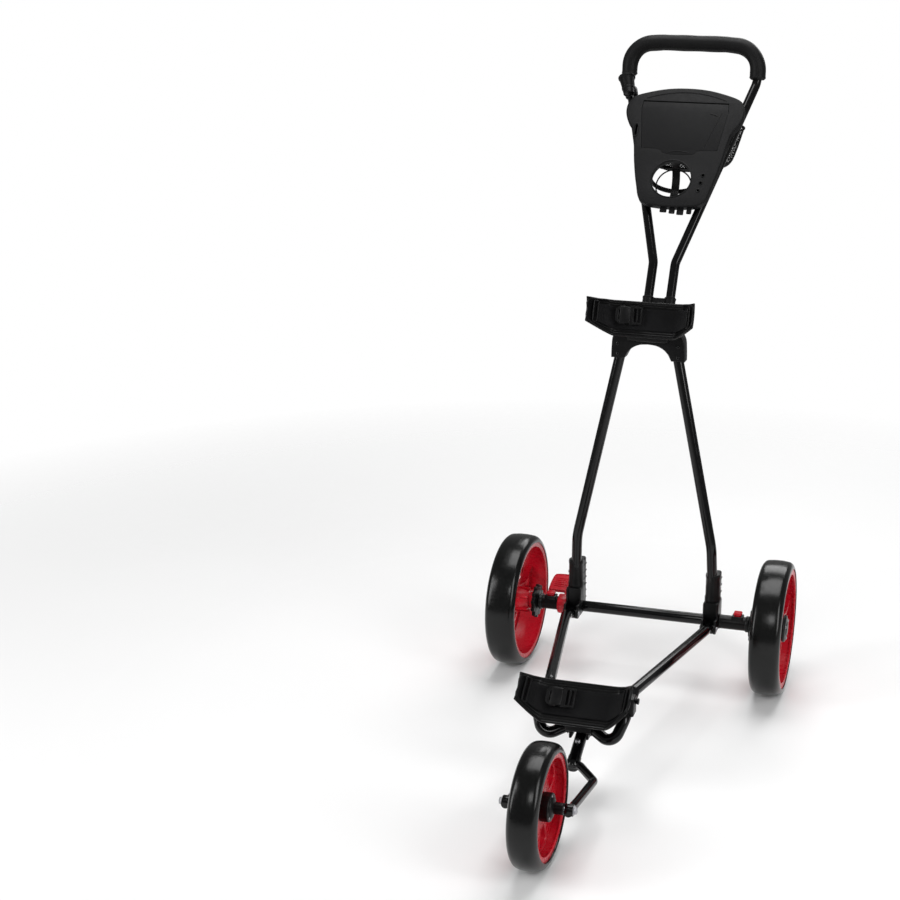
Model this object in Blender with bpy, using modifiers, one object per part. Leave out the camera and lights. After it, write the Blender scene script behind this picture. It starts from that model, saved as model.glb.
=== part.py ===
"""Three-wheel folding golf push trolley, modelled as separate pieces.

Units are metres, +Z is up, the trolley rolls towards -Y and its own left wheel, seen from the
front, is the one at -X. Pieces are laid out around the rear axle, which is at y = 0 in the
layout, and one empty shifts them all so that the origin is under the middle of the trolley.
"""

import math

import bmesh
import bpy
from mathutils import Matrix, Vector

# Driving dimensions ------------------------------------------------------------------------
LAYOUT_SHIFT_Y = 0.2535     # from the rear axle to the middle of the whole trolley
GAP = 0.0004                # left between pieces that touch

REAR_WHEEL_RADIUS = 0.145
REAR_WHEEL_WIDTH = 0.066
REAR_TRACK = 0.575          # between the middles of the two rear tyres
FRONT_WHEEL_RADIUS = 0.110
FRONT_WHEEL_WIDTH = 0.055
FRONT_AXLE = Vector((0, -0.795, FRONT_WHEEL_RADIUS))
FRONT_HUB_RADIUS = 0.0190
WHEEL_SIDES = 24            # flats of a tyre, so that one flat lies on the ground
TREAD_WALL = 0.014          # tyre thickness over the rear rims
FRONT_TREAD_WALL = 0.016

TUBE_RADIUS = 0.011         # main and lower frame tubes
CROSS_TUBE_RADIUS = 0.012
HANDLE_TUBE_RADIUS = 0.0098
GRIP_RADIUS = 0.0172
HINGE_X = 0.153             # the two frame sides, either side of the middle plane
AXLE_Z = REAR_WHEEL_RADIUS
SLEEVE_RADIUS = 0.015
PIN_RADIUS = 0.0063         # wheel pins
PIVOT_RADIUS = 0.0030       # fold pins of the lower frame and of the fork
PIVOT_BORE = PIVOT_RADIUS + GAP
HANDLE_PIN_RADIUS = 0.0040
TAB_X = 0.2100              # middle of a release tab
LONG = 0.2                  # of a cutter that passes right through
PEDAL_X = -0.1812           # middle of the brake pedal's ring
KNOB_X = -0.0590            # middle of the lock knob

FOLD_PIVOT = Vector((0.0, -0.040, 0.142))      # lower frame
FOLD_EYE = FOLD_PIVOT + Vector((HINGE_X, 0, 0))
FORK_PIVOT = Vector((0.0, -0.492, 0.112))      # front fork
HANDLE_PIVOT = Vector((0.0, 0.055, 0.790))     # handle
HANDLE_BEND = Vector((0.0, 0.1185, 0.899))
HANDLE_LEAN = math.radians(34)                 # of the upper handle, from vertical

BLACK_STEEL = ("powder_coated_steel", (0.012, 0.012, 0.013), 0.22, 0.6)
BLACK_PLASTIC = ("black_plastic", (0.018, 0.018, 0.019), 0.45, 0.0)
CONSOLE_PLASTIC = ("console_plastic", (0.040, 0.040, 0.043), 0.60, 0.0)
RED_PLASTIC = ("red_plastic", (0.62, 0.010, 0.022), 0.35, 0.0)
TYRE_FOAM = ("tyre_foam", (0.020, 0.021, 0.021), 0.42, 0.0)
GRIP_FOAM = ("grip_foam", (0.022, 0.022, 0.023), 0.80, 0.0)
WEBBING = ("webbing", (0.012, 0.012, 0.013), 0.85, 0.0)
NET = ("net", (0.010, 0.010, 0.010), 0.90, 0.0)
SCREW_STEEL = ("bright_screw", (0.62, 0.62, 0.64), 0.28, 1.0)

ALONG_X = Matrix.Rotation(math.radians(90), 4, "Y")


# Scene and materials -----------------------------------------------------------------------
def clear_scene():
    for item in list(bpy.data.objects):
        bpy.data.objects.remove(item, do_unlink=True)


def new_collection(name):
    collection = bpy.data.collections.new(name)
    bpy.context.scene.collection.children.link(collection)
    return collection


def material(recipe):
    name, colour, roughness, metallic = recipe
    found = bpy.data.materials.get(name)
    if found:
        return found
    made = bpy.data.materials.new(name)
    made.use_nodes = True
    shader = made.node_tree.nodes["Principled BSDF"]
    shader.inputs["Base Color"].default_value = (*colour, 1.0)
    shader.inputs["Roughness"].default_value = roughness
    shader.inputs["Metallic"].default_value = metallic
    made.diffuse_color = (*colour, 1.0)
    return made


clear_scene()
PARTS = new_collection("golf_push_trolley")
TOOLS = new_collection("cutters")
TOOLS.hide_render = True
LAYOUT = bpy.data.objects.new("layout", None)
LAYOUT.location.y = LAYOUT_SHIFT_Y
PARTS.objects.link(LAYOUT)


def place(obj, matrix=None):
    obj.parent = LAYOUT
    if matrix is not None:
        obj.matrix_basis = matrix
    return obj


def part(name, mesh, recipe, matrix=None, smooth=35):
    obj = bpy.data.objects.new(name, mesh)
    PARTS.objects.link(obj)
    mesh.materials.clear()
    mesh.materials.append(material(recipe))
    mesh.shade_smooth()
    mesh.set_sharp_from_angle(angle=math.radians(smooth))
    return place(obj, matrix)


def helper(name, mesh, matrix=None):
    """A guide or cutter: drawn as wire and left out of the part."""
    obj = bpy.data.objects.new(name, mesh)
    TOOLS.objects.link(obj)
    obj.hide_render = True
    obj.display_type = "WIRE"
    return place(obj, matrix)


# Shapes ------------------------------------------------------------------------------------
def box_mesh(size, at=(0, 0, 0), turn=None, bevel=0.0, taper=1.0):
    """A box; taper scales its top, and bevel rounds its edges."""
    bm = bmesh.new()
    bmesh.ops.create_cube(bm, size=1.0)
    for v in bm.verts:
        if v.co.z > 0:
            v.co.x *= taper
            v.co.y *= taper
        v.co = Vector((v.co.x * size[0], v.co.y * size[1], v.co.z * size[2]))
    if bevel:
        bmesh.ops.bevel(bm, geom=bm.edges[:], offset=bevel, segments=1, affect="EDGES")
    bm.transform(Matrix.Translation(at) @ (turn.to_4x4() if turn else Matrix()))
    return mesh_of(bm)


def cylinder_mesh(radius, length, at=(0, 0, 0), axis="X", sides=20, top_radius=None):
    bm = bmesh.new()
    top = radius if top_radius is None else top_radius
    bmesh.ops.create_cone(
        bm, cap_ends=True, segments=sides, radius1=radius, radius2=top, depth=length
    )
    turn = {"X": ALONG_X, "Y": Matrix.Rotation(math.radians(-90), 4, "X"), "Z": Matrix()}[axis]
    bm.transform(Matrix.Translation(at) @ turn)
    return mesh_of(bm)


def mesh_of(bm, name="mesh"):
    mesh = bpy.data.meshes.new(name)
    bm.to_mesh(mesh)
    bm.free()
    return mesh


def baked(obj):
    """The object's evaluated mesh with its seams welded, in the object's own space."""
    bpy.context.view_layer.update()
    evaluated = obj.evaluated_get(bpy.context.evaluated_depsgraph_get())
    mesh = bpy.data.meshes.new_from_object(evaluated)
    bm = bmesh.new()
    bm.from_mesh(mesh)
    bmesh.ops.remove_doubles(bm, verts=bm.verts[:], dist=1e-6)
    bmesh.ops.recalc_face_normals(bm, faces=bm.faces[:])
    bm.to_mesh(mesh)
    bm.free()
    bpy.data.objects.remove(obj, do_unlink=True)
    return mesh


def turned_mesh(profile, sides, turn=0.0):
    """A profile of (radius, height) points revolved about Z, closed into a ring."""
    mesh = bpy.data.meshes.new("profile")
    count = len(profile)
    points = [(radius, 0.0, height) for radius, height in profile]
    mesh.from_pydata(points, [(i, (i + 1) % count) for i in range(count)], [])
    obj = helper("turned", mesh)
    screw = obj.modifiers.new("turn", "SCREW")
    screw.angle = math.tau
    screw.steps = screw.render_steps = sides
    screw.use_merge_vertices = True
    screw.merge_threshold = 1e-5
    made = baked(obj)
    made.transform(Matrix.Rotation(turn, 4, "Z"))
    return made


def ring_mesh(inner, outer, length, at=(0, 0, 0), axis="X", sides=20):
    half = length / 2
    mesh = turned_mesh([(outer, half), (outer, -half), (inner, -half), (inner, half)], sides)
    turn = {"X": ALONG_X, "Y": Matrix.Rotation(math.radians(-90), 4, "X"), "Z": Matrix()}[axis]
    mesh.transform(Matrix.Translation(at) @ turn)
    return mesh


def combine(mesh, others, operation):
    """Boolean of one mesh with a list of meshes."""
    base = helper("base", mesh)
    for i, other in enumerate(others):
        tool = helper("tool", other)
        step = base.modifiers.new(f"step_{i}", "BOOLEAN")
        step.operation = operation
        step.object = tool
    made = baked(base)
    for tool in [o for o in TOOLS.objects if o.name.startswith("tool")]:
        bpy.data.objects.remove(tool, do_unlink=True)
    return made


def union(mesh, *others):
    return combine(mesh, others, "UNION")


def cut(mesh, *others):
    return combine(mesh, others, "DIFFERENCE")


def mirrored(mesh):
    """A copy of a mesh for the other side of the middle plane."""
    made = mesh.copy()
    made.transform(Matrix.Diagonal((-1, 1, 1, 1)))
    made.flip_normals()
    return made


def rounded_path(points, radius, steps=4, most=0.49):
    """The points with each inner corner replaced by an arc of the given radius.

    An arc takes up no more than the share `most` of the straight stretch on either side.
    """
    points = [Vector(p) for p in points]
    path = [points[0]]
    for before, corner, after in zip(points, points[1:], points[2:]):
        to_start, to_end = (before - corner).normalized(), (after - corner).normalized()
        half = to_start.angle(to_end) / 2
        reach = min(radius / math.tan(half), most * (before - corner).length,
                    most * (after - corner).length)
        bulge = reach * math.tan(half)
        middle = corner + (to_start + to_end).normalized() * (bulge / math.sin(half))
        start = (corner + to_start * reach - middle).normalized()
        end = (corner + to_end * reach - middle).normalized()
        for i in range(steps + 1):
            path.append(middle + start.slerp(end, i / steps) * bulge)
    return path + [points[-1]]


def tube_mesh(points, radius, bend=0.03, sides=12, steps=4, most=0.49):
    """A solid round tube along a path with rounded corners."""
    path = rounded_path(points, bend, steps, most)
    curve = bpy.data.curves.new("tube", "CURVE")
    curve.dimensions = "3D"
    curve.bevel_depth = radius
    curve.bevel_resolution = (sides - 4) // 2
    curve.use_fill_caps = True
    spline = curve.splines.new("POLY")
    spline.points.add(len(path) - 1)
    for point, place_at in zip(spline.points, path):
        point.co = (*place_at, 1.0)
    obj = bpy.data.objects.new("tube", curve)
    TOOLS.objects.link(obj)
    return baked(obj)


def longer(path, extra=0.001):
    """The path with its last point moved on, so that a socket clears the tube's end."""
    before, last = Vector(path[-2]), Vector(path[-1])
    return [*path[:-1], last + (last - before).normalized() * extra]


def plate_mesh(outline, thickness, holes=(), bevel=0.0):
    """A flat outline in X and Y with holes, filled and given a thickness about z = 0."""
    curve = bpy.data.curves.new("plate", "CURVE")
    curve.dimensions = "2D"
    curve.fill_mode = "BOTH"
    curve.extrude = thickness / 2 - bevel
    curve.bevel_depth = bevel
    curve.bevel_resolution = 1
    for loop in (outline, *holes):
        spline = curve.splines.new("POLY")
        spline.points.add(len(loop) - 1)
        spline.use_cyclic_u = True
        for point, (x, y) in zip(spline.points, loop):
            point.co = (x, y, 0.0, 1.0)
    obj = bpy.data.objects.new("plate", curve)
    TOOLS.objects.link(obj)
    return baked(obj)


def sheet_mesh(surface, across, along, thickness):
    """A surface(u, v), with u and v from 0 to 1, thickened to one side."""
    bm = bmesh.new()
    grid = [
        [bm.verts.new(surface(i / across, j / along)) for j in range(along + 1)]
        for i in range(across + 1)
    ]
    for i in range(across):
        for j in range(along):
            bm.faces.new((grid[i][j], grid[i + 1][j], grid[i + 1][j + 1], grid[i][j + 1]))
    obj = helper("sheet", mesh_of(bm))
    thicken = obj.modifiers.new("thickness", "SOLIDIFY")
    thicken.thickness = thickness
    thicken.offset = -1.0
    return baked(obj)


def circle_points(centre, radius, count, turn=0.0):
    return [
        (centre[0] + radius * math.cos(turn + math.tau * i / count),
         centre[1] + radius * math.sin(turn + math.tau * i / count))
        for i in range(count)
    ]


def pair(name, mesh, recipe):
    """The same piece on both sides: mesh is the +X one, named right."""
    part(name + "_right", mesh, recipe)
    part(name + "_left", mirrored(mesh), recipe)


# Wheels ------------------------------------------------------------------------------------
def tyre_profile(radius, width, wall):
    """Outer tread with rounded shoulders, down to the seat on the rim."""
    outer = radius / math.cos(math.pi / WHEEL_SIDES)
    half = width / 2
    seat = outer - wall
    return [
        (outer, half * 0.45), (outer, -half * 0.45), (outer - 0.0022, -half * 0.80),
        (outer - 0.0075, -half), (seat, -half), (seat, half),
        (outer - 0.0075, half), (outer - 0.0022, half * 0.80),
    ]


def tyre_mesh(radius, width, wall):
    """A tyre about Z whose flats are at the four compass points once it lies along X."""
    half_flat = math.pi / WHEEL_SIDES
    mesh = turned_mesh(tyre_profile(radius, width, wall), WHEEL_SIDES, turn=half_flat)
    mesh.transform(ALONG_X)
    return mesh


def rim_seat(radius, wall):
    """Outer radius of a rim whose corners clear the flats inside its tyre."""
    return (radius - wall) * 0.997 - GAP


def rear_rim_mesh():
    """Deep barrel with three forked spokes near its outboard face, and a long hub."""
    seat = rim_seat(REAR_WHEEL_RADIUS, TREAD_WALL)
    half = REAR_WHEEL_WIDTH / 2 - 0.002
    inner = seat - 0.007
    barrel = turned_mesh(
        [(seat, half), (seat, -half), (inner, -half), (inner, 0.0), (inner - 0.002, half)],
        WHEEL_SIDES, turn=math.pi / WHEEL_SIDES,
    )
    hub = cylinder_mesh(0.030, 0.062, at=(0, 0, -0.009), axis="Z", sides=24)
    outline = [(0.020, -0.016), (0.060, -0.011), (0.095, -0.017), (inner - 0.001, -0.034),
               (inner - 0.001, 0.034), (0.095, 0.017), (0.060, 0.011), (0.020, 0.016)]
    fork = [(0.078, 0.0), (0.112, -0.016), (0.112, 0.016)]
    spokes = []
    for i in range(3):
        spoke = plate_mesh(outline, 0.014, holes=[fork])
        spoke.transform(Matrix.Rotation(math.radians(90 + 120 * i), 4, "Z")
                        @ Matrix.Translation((0, 0, 0.013)))
        spokes.append(spoke)
    bore = cylinder_mesh(PIN_RADIUS + GAP, 0.2, axis="Z")
    mesh = cut(union(barrel, hub, *spokes), bore)
    mesh.transform(ALONG_X)
    return mesh


def front_rim_mesh():
    """Barrel with a disc that has six openings."""
    seat = rim_seat(FRONT_WHEEL_RADIUS, FRONT_TREAD_WALL)
    half = FRONT_WHEEL_WIDTH / 2 - 0.003
    inner = seat - 0.006
    barrel = turned_mesh(
        [(seat, half), (seat, -half), (inner, -half), (inner, half)],
        WHEEL_SIDES, turn=math.pi / WHEEL_SIDES,
    )
    window_mesh = cylinder_mesh(0.0155, 0.1, axis="Z", sides=10)
    windows = []
    for i in range(6):
        window = window_mesh.copy()
        window.transform(Matrix.Rotation(math.tau * i / 6, 4, "Z")
                         @ Matrix.Translation((0.058, 0, 0)) @ Matrix.Diagonal((1.1, 1, 1, 1)))
        windows.append(window)
    disc = cylinder_mesh(inner + 0.002, 0.016, axis="Z", sides=24)
    core = cylinder_mesh(FRONT_HUB_RADIUS + GAP, 0.1, axis="Z")
    mesh = cut(union(barrel, disc), core, *windows)
    mesh.transform(ALONG_X)
    return mesh


def toothed_disc_mesh(radius, teeth, length, bore):
    outline = []
    for i in range(teeth):
        for j, reach in enumerate((radius, radius, radius - 0.004, radius - 0.004)):
            angle = math.tau * (i + (j + 0.5) / 4) / teeth
            outline.append((reach * math.cos(angle), reach * math.sin(angle)))
    mesh = plate_mesh(outline, length, holes=[circle_points((0, 0), bore, 20)])
    mesh.transform(ALONG_X)
    return mesh


def move(mesh, x=0.0, y=0.0, z=0.0):
    mesh.transform(Matrix.Translation((x, y, z)))
    return mesh


def make_rear_wheels():
    middle = REAR_TRACK / 2
    pair("rear_tyre", move(tyre_mesh(REAR_WHEEL_RADIUS, REAR_WHEEL_WIDTH, TREAD_WALL),
                           middle, 0, REAR_WHEEL_RADIUS), TYRE_FOAM)
    pair("rear_rim", move(rear_rim_mesh(), middle, 0, REAR_WHEEL_RADIUS), RED_PLASTIC)
    cap = union(
        cylinder_mesh(0.0295, 0.006, at=(middle + 0.0258, 0, REAR_WHEEL_RADIUS), sides=24),
        cylinder_mesh(0.0230, 0.004, at=(middle + 0.0300, 0, REAR_WHEEL_RADIUS), sides=24),
    )
    pair("hub_cap", cap, BLACK_PLASTIC)
    disc = toothed_disc_mesh(0.037, 12, 0.008, PIN_RADIUS + GAP)
    pair("brake_disc", move(disc, middle - 0.0448, 0, REAR_WHEEL_RADIUS), BLACK_PLASTIC)
    pin = cylinder_mesh(PIN_RADIUS, 0.128, at=(middle - 0.0420, 0, REAR_WHEEL_RADIUS))
    pair("wheel_pin", pin, SCREW_STEEL)


def make_front_wheel():
    tyre = tyre_mesh(FRONT_WHEEL_RADIUS, FRONT_WHEEL_WIDTH, FRONT_TREAD_WALL)
    part("front_tyre", move(tyre, *FRONT_AXLE), TYRE_FOAM)
    part("front_rim", move(front_rim_mesh(), *FRONT_AXLE), RED_PLASTIC)
    flanges = [cylinder_mesh(0.0255, 0.012, at=FRONT_AXLE + Vector((x, 0, 0)))
               for x in (-0.018, 0.018)]
    hub = union(cylinder_mesh(FRONT_HUB_RADIUS, 0.054, at=FRONT_AXLE),
                cylinder_mesh(0.0105, 0.0924, at=FRONT_AXLE), *flanges)
    part("front_hub", cut(hub, cylinder_mesh(0.0045, LONG, at=FRONT_AXLE)), BLACK_PLASTIC)


# Rear axle, main frame and yoke ------------------------------------------------------------
MAIN_TUBE = [(HINGE_X, 0.0, 0.1935), (0.1485, -0.012, 0.3137), (0.0592, -0.0066, 0.7350)]
YOKE_SIDE = [(0.0495, 0.7190), (0.0780, 0.7190), (0.0775, 0.7420), (0.0745, 0.7660),
             (0.0600, 0.7850), (0.0400, 0.7950)]
YOKE_ARCH = [(0.0, 0.7510), (0.0180, 0.7490), (0.0330, 0.7420), (0.0430, 0.7320)]


def make_rear_axle():
    half_block = 0.017
    block_inner = HINGE_X - half_block
    part("rear_cross_tube",
         cylinder_mesh(CROSS_TUBE_RADIUS, 2 * block_inner - 2 * GAP, at=(0, 0, AXLE_Z), sides=16),
         BLACK_STEEL)
    block = union(
        box_mesh((0.034, 0.048, 0.064), at=(HINGE_X, 0.0, 0.161), bevel=0.003),
        cylinder_mesh(0.0110, 0.034, at=FOLD_EYE),
        box_mesh((0.034, 0.030, 0.030), at=(HINGE_X, -0.0275, 0.1460)),
        cylinder_mesh(0.0160, 0.071, at=(HINGE_X, 0.0, 0.2185), axis="Z"),
        box_mesh((0.022, 0.030, 0.118), at=(HINGE_X, 0.032, 0.187), bevel=0.004),
    )
    slot_width = 2 * TUBE_RADIUS + 0.0014
    slot = box_mesh((slot_width, 0.080, LONG), at=(HINGE_X, -0.0612, 0.150))
    inward = box_mesh((slot_width, 0.080, 0.060), at=(HINGE_X - 0.0030, -0.0612, 0.194))
    pivot_bore = cylinder_mesh(PIVOT_BORE, LONG, at=FOLD_EYE, sides=12)
    socket = tube_mesh(MAIN_TUBE, TUBE_RADIUS + GAP, bend=0.16, steps=6)
    block = cut(block, slot, inward, pivot_bore, socket)
    pair("hinge_block", block, BLACK_PLASTIC)
    pin = cylinder_mesh(PIVOT_RADIUS, 0.0375, at=FOLD_EYE, sides=12)
    pair("fold_pin", pin, SCREW_STEEL)
    screw = cylinder_mesh(0.0042, 0.0030, at=(HINGE_X, 0.0490, 0.150), axis="Y", sides=12)
    pair("hinge_screw", screw, SCREW_STEEL)
    pair("main_tube", tube_mesh(MAIN_TUBE, TUBE_RADIUS, bend=0.16, steps=6), BLACK_STEEL)
    start, end = HINGE_X + half_block + GAP, 0.2380
    middle, length = (start + end) / 2, end - start
    sleeve = union(ring_mesh(PIN_RADIUS + GAP, SLEEVE_RADIUS, length, at=(middle, 0, AXLE_Z)),
                   ring_mesh(PIN_RADIUS + GAP, 0.0175, 0.006, at=(end - 0.006, 0, AXLE_Z)))
    pocket = box_mesh((0.0148, 0.0128, 0.020), at=(TAB_X, 0, AXLE_Z + 0.0185))
    pair("axle_sleeve", cut(sleeve, pocket), BLACK_PLASTIC)
    tab = union(box_mesh((0.0140, 0.0120, 0.0120), at=(TAB_X, 0, AXLE_Z + 0.0190)),
                box_mesh((0.0190, 0.0170, 0.0050), at=(TAB_X, 0, AXLE_Z + 0.0235), bevel=0.001))
    pair("release_tab", tab, RED_PLASTIC)


def make_brake_pedal():
    """A foot plate that rises to the rear from a ring round the left sleeve."""
    ring = ring_mesh(SLEEVE_RADIUS + GAP, 0.0215, 0.0200, at=(PEDAL_X, 0, AXLE_Z))
    tilt = Matrix.Rotation(math.radians(16), 3, "X")
    arm = box_mesh((0.0160, 0.050, 0.010), turn=tilt, at=(-0.1830, 0.0440, AXLE_Z + 0.004),
                   bevel=0.001)
    plate = box_mesh((0.058, 0.060, 0.006), at=(-0.2030, 0.0800, AXLE_Z + 0.0145), turn=tilt,
                     bevel=0.001)
    part("brake_pedal", union(ring, arm, plate), RED_PLASTIC)


def make_yoke():
    """An arch that holds the tops of the frame tubes, with two ears for the handle's pin."""
    outline = YOKE_SIDE + [(-x, z) for x, z in reversed(YOKE_SIDE)]
    outline += [(-x, z) for x, z in reversed(YOKE_ARCH[1:])] + YOKE_ARCH
    arch = plate_mesh(outline, 0.030, bevel=0.0015)
    arch.transform(Matrix.Translation((0, -0.0070, 0)) @ Matrix.Rotation(math.radians(90), 4, "X"))
    pivot = HANDLE_PIVOT
    ears = []
    for side in (-1, 1):
        x = side * 0.0405
        ears.append(cylinder_mesh(0.0175, 0.0080, at=(x, pivot.y, pivot.z), sides=20))
        ears.append(box_mesh((0.0080, 0.052, 0.030), at=(x, 0.0270, 0.7790)))
    block = box_mesh((0.0890, 0.050, 0.040), at=(0, -0.0050, 0.7775), bevel=0.004)
    socket = tube_mesh(longer(MAIN_TUBE), TUBE_RADIUS + GAP, bend=0.16, steps=6)
    bore = cylinder_mesh(HANDLE_PIN_RADIUS + GAP, LONG, at=pivot, sides=16)
    part("upper_yoke", cut(union(arch, block, *ears), bore, socket, mirrored(socket)),
         BLACK_PLASTIC)
    pin = union(cylinder_mesh(HANDLE_PIN_RADIUS, 0.1060, at=(-0.0050, pivot.y, pivot.z), sides=16),
                cylinder_mesh(0.0075, 0.0050, at=(0.0474, pivot.y, pivot.z), sides=6))
    part("handle_pin", pin, SCREW_STEEL)


def make_lock_knob():
    """Three-lobed hand knob on the left end of the handle's pin."""
    pivot = HANDLE_PIVOT
    outline = []
    for i in range(36):
        angle = math.tau * i / 36
        reach = 0.0240 + 0.0115 * math.cos(3 * angle)
        outline.append((reach * math.sin(angle), reach * math.cos(angle)))
    knob = plate_mesh(outline, 0.016, bevel=0.002)
    knob.transform(Matrix.Translation((KNOB_X, pivot.y, pivot.z)) @ ALONG_X)
    boss = cylinder_mesh(0.0130, 0.0080, at=(-0.0494, pivot.y, pivot.z))
    bore = cylinder_mesh(HANDLE_PIN_RADIUS + GAP, 0.0180, at=(-0.0520, pivot.y, pivot.z), sides=16)
    part("lock_knob", cut(union(knob, boss), bore), RED_PLASTIC)
    part("knob_cap", cylinder_mesh(0.0110, 0.0030, at=(-0.0690, pivot.y, pivot.z)), BLACK_PLASTIC)


# Bag saddles and straps --------------------------------------------------------------------
UPPER_SADDLE = dict(top=Vector((0, -0.046, 0.844)), bottom=Vector((0, -0.066, 0.776)),
                    top_end=Vector((0, -0.100, 0.860)), bottom_end=Vector((0, -0.112, 0.813)),
                    half_width=0.108)
LOWER_SADDLE = dict(top=Vector((0, -0.520, 0.214)), bottom=Vector((0, -0.574, 0.152)),
                    top_end=Vector((0, -0.555, 0.238)), bottom_end=Vector((0, -0.594, 0.202)),
                    half_width=0.105)


TOP_ARM, BOTTOM_ARM = 0.72, 0.58       # where the arms start, as a share of the half width
BUCKLE_AT = dict(across=-0.30, along=0.40, lift=0.0136)


def saddle_point(saddle, across, along, lift=0.0):
    """A point of the saddle's face: a flat middle that sweeps forward into two arms."""
    def sweep_from(start):
        return max(0.0, (abs(across) - start) / (1 - start)) ** 1.25
    top = saddle["top"].lerp(saddle["top_end"], sweep_from(TOP_ARM))
    bottom = saddle["bottom"].lerp(saddle["bottom_end"], sweep_from(BOTTOM_ARM))
    point = top.lerp(bottom, along)
    down = (bottom - top).normalized()
    front = Vector((0, down.z, -down.y))
    dish = 0.006 * (1 - (2 * along - 1) ** 2)
    point = point + front * (lift - dish)
    return Vector((across * saddle["half_width"], point.y, point.z))


def saddle_sheet(saddle, across, along, thickness, lift=0.0, span=1.0, low=0.0, high=1.0):
    def surface(u, v):
        return saddle_point(saddle, span * (2 * u - 1), low + (high - low) * v, lift)
    return sheet_mesh(surface, across, along, -thickness)


def make_saddles():
    upper_pad = box_mesh((0.060, 0.020, 0.026), at=(0, -0.0410, 0.7900))
    part("upper_saddle", union(saddle_sheet(UPPER_SADDLE, 28, 5, 0.004), upper_pad), BLACK_PLASTIC)
    shelf = box_mesh((0.176, 0.050, 0.012), at=(0, -0.5120, 0.1840), bevel=0.002)
    clamps = [box_mesh((0.030, 0.026, 0.036), at=(side * 0.0845, -0.5000, 0.1710))
              for side in (-1, 1)]
    lower = union(saddle_sheet(LOWER_SADDLE, 28, 5, 0.004), shelf, *clamps)
    fat_right = tube_mesh(LOWER_TUBE, TUBE_RADIUS + GAP, bend=0.020)
    fat_left = mirrored(fat_right)
    part("lower_saddle", cut(lower, fat_right, fat_left), BLACK_PLASTIC)
    stud = cylinder_mesh(0.0062, 0.0072, at=(0.1035, -0.5000, 0.1810), sides=12)
    pair("saddle_stud", stud, BLACK_PLASTIC)
    for name, saddle in (("upper", UPPER_SADDLE), ("lower", LOWER_SADDLE)):
        strap = saddle_sheet(saddle, 24, 3, 0.0016, lift=0.0050, span=0.875, low=0.18, high=0.80)
        part(name + "_strap", strap, WEBBING)
        middle = saddle_point(saddle, **BUCKLE_AT)
        rise = saddle_point(saddle, 0, 0.1) - saddle_point(saddle, 0, 0.9)
        turn = Matrix.Rotation(-math.atan2(rise.y, rise.z), 3, "X")
        part(name + "_buckle", box_mesh((0.056, 0.0070, 0.038), at=middle, turn=turn, bevel=0.001),
             BLACK_PLASTIC)


# Lower frame and fork ----------------------------------------------------------------------
LOWER_TUBE = [(HINGE_X, -0.0290, 0.1420), (HINGE_X, -0.0820, 0.1540), (0.0835, -0.4400, 0.1720),
              (0.0845, -0.5200, 0.1500), (0.0680, -0.5430, 0.1060), (0.0200, -0.5210, 0.1270)]
FORK_CROWN = Vector((0, -0.5680, 0.0740))
FORK_ARM = [(0.0560, FRONT_AXLE.y - 0.010, FRONT_AXLE.z), (0.0560, -0.6320, 0.0780),
            (0.0130, -0.5740, 0.0740)]
FORK_ARM_RADIUS = 0.0080
STEM_RADIUS = 0.0115
BUTTON_RADIUS = 0.0045
BUTTON_AT = FORK_PIVOT.lerp(FORK_CROWN, 0.0460 / (FORK_CROWN - FORK_PIVOT).length)


def make_lower_frame():
    tube = tube_mesh(LOWER_TUBE, TUBE_RADIUS, bend=0.020, steps=4)
    bore = cylinder_mesh(PIVOT_BORE, LONG, at=FOLD_EYE, sides=12)
    pair("lower_tube", cut(tube, bore), BLACK_STEEL)
    head = box_mesh((0.0520, 0.0320, 0.0240), at=(0, -0.5240, 0.1330), bevel=0.002)
    fat_tube = tube_mesh(longer(LOWER_TUBE), TUBE_RADIUS + GAP, bend=0.020)
    cheeks = [box_mesh((0.0050, 0.0560, 0.0260), at=(side * 0.0165, -0.5060, 0.1180))
              for side in (-1, 1)]
    eye = cylinder_mesh(PIVOT_BORE, LONG, at=FORK_PIVOT, sides=12)
    part("fork_head", cut(union(head, *cheeks), eye, fat_tube, mirrored(fat_tube)), BLACK_PLASTIC)
    nut = cylinder_mesh(0.0055, 0.0030, at=FORK_PIVOT + Vector((0.0210, 0, 0)), sides=6)
    pin = union(cylinder_mesh(PIVOT_RADIUS, 0.0430, at=FORK_PIVOT, sides=12), nut)
    part("fork_pin", pin, SCREW_STEEL)


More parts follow.
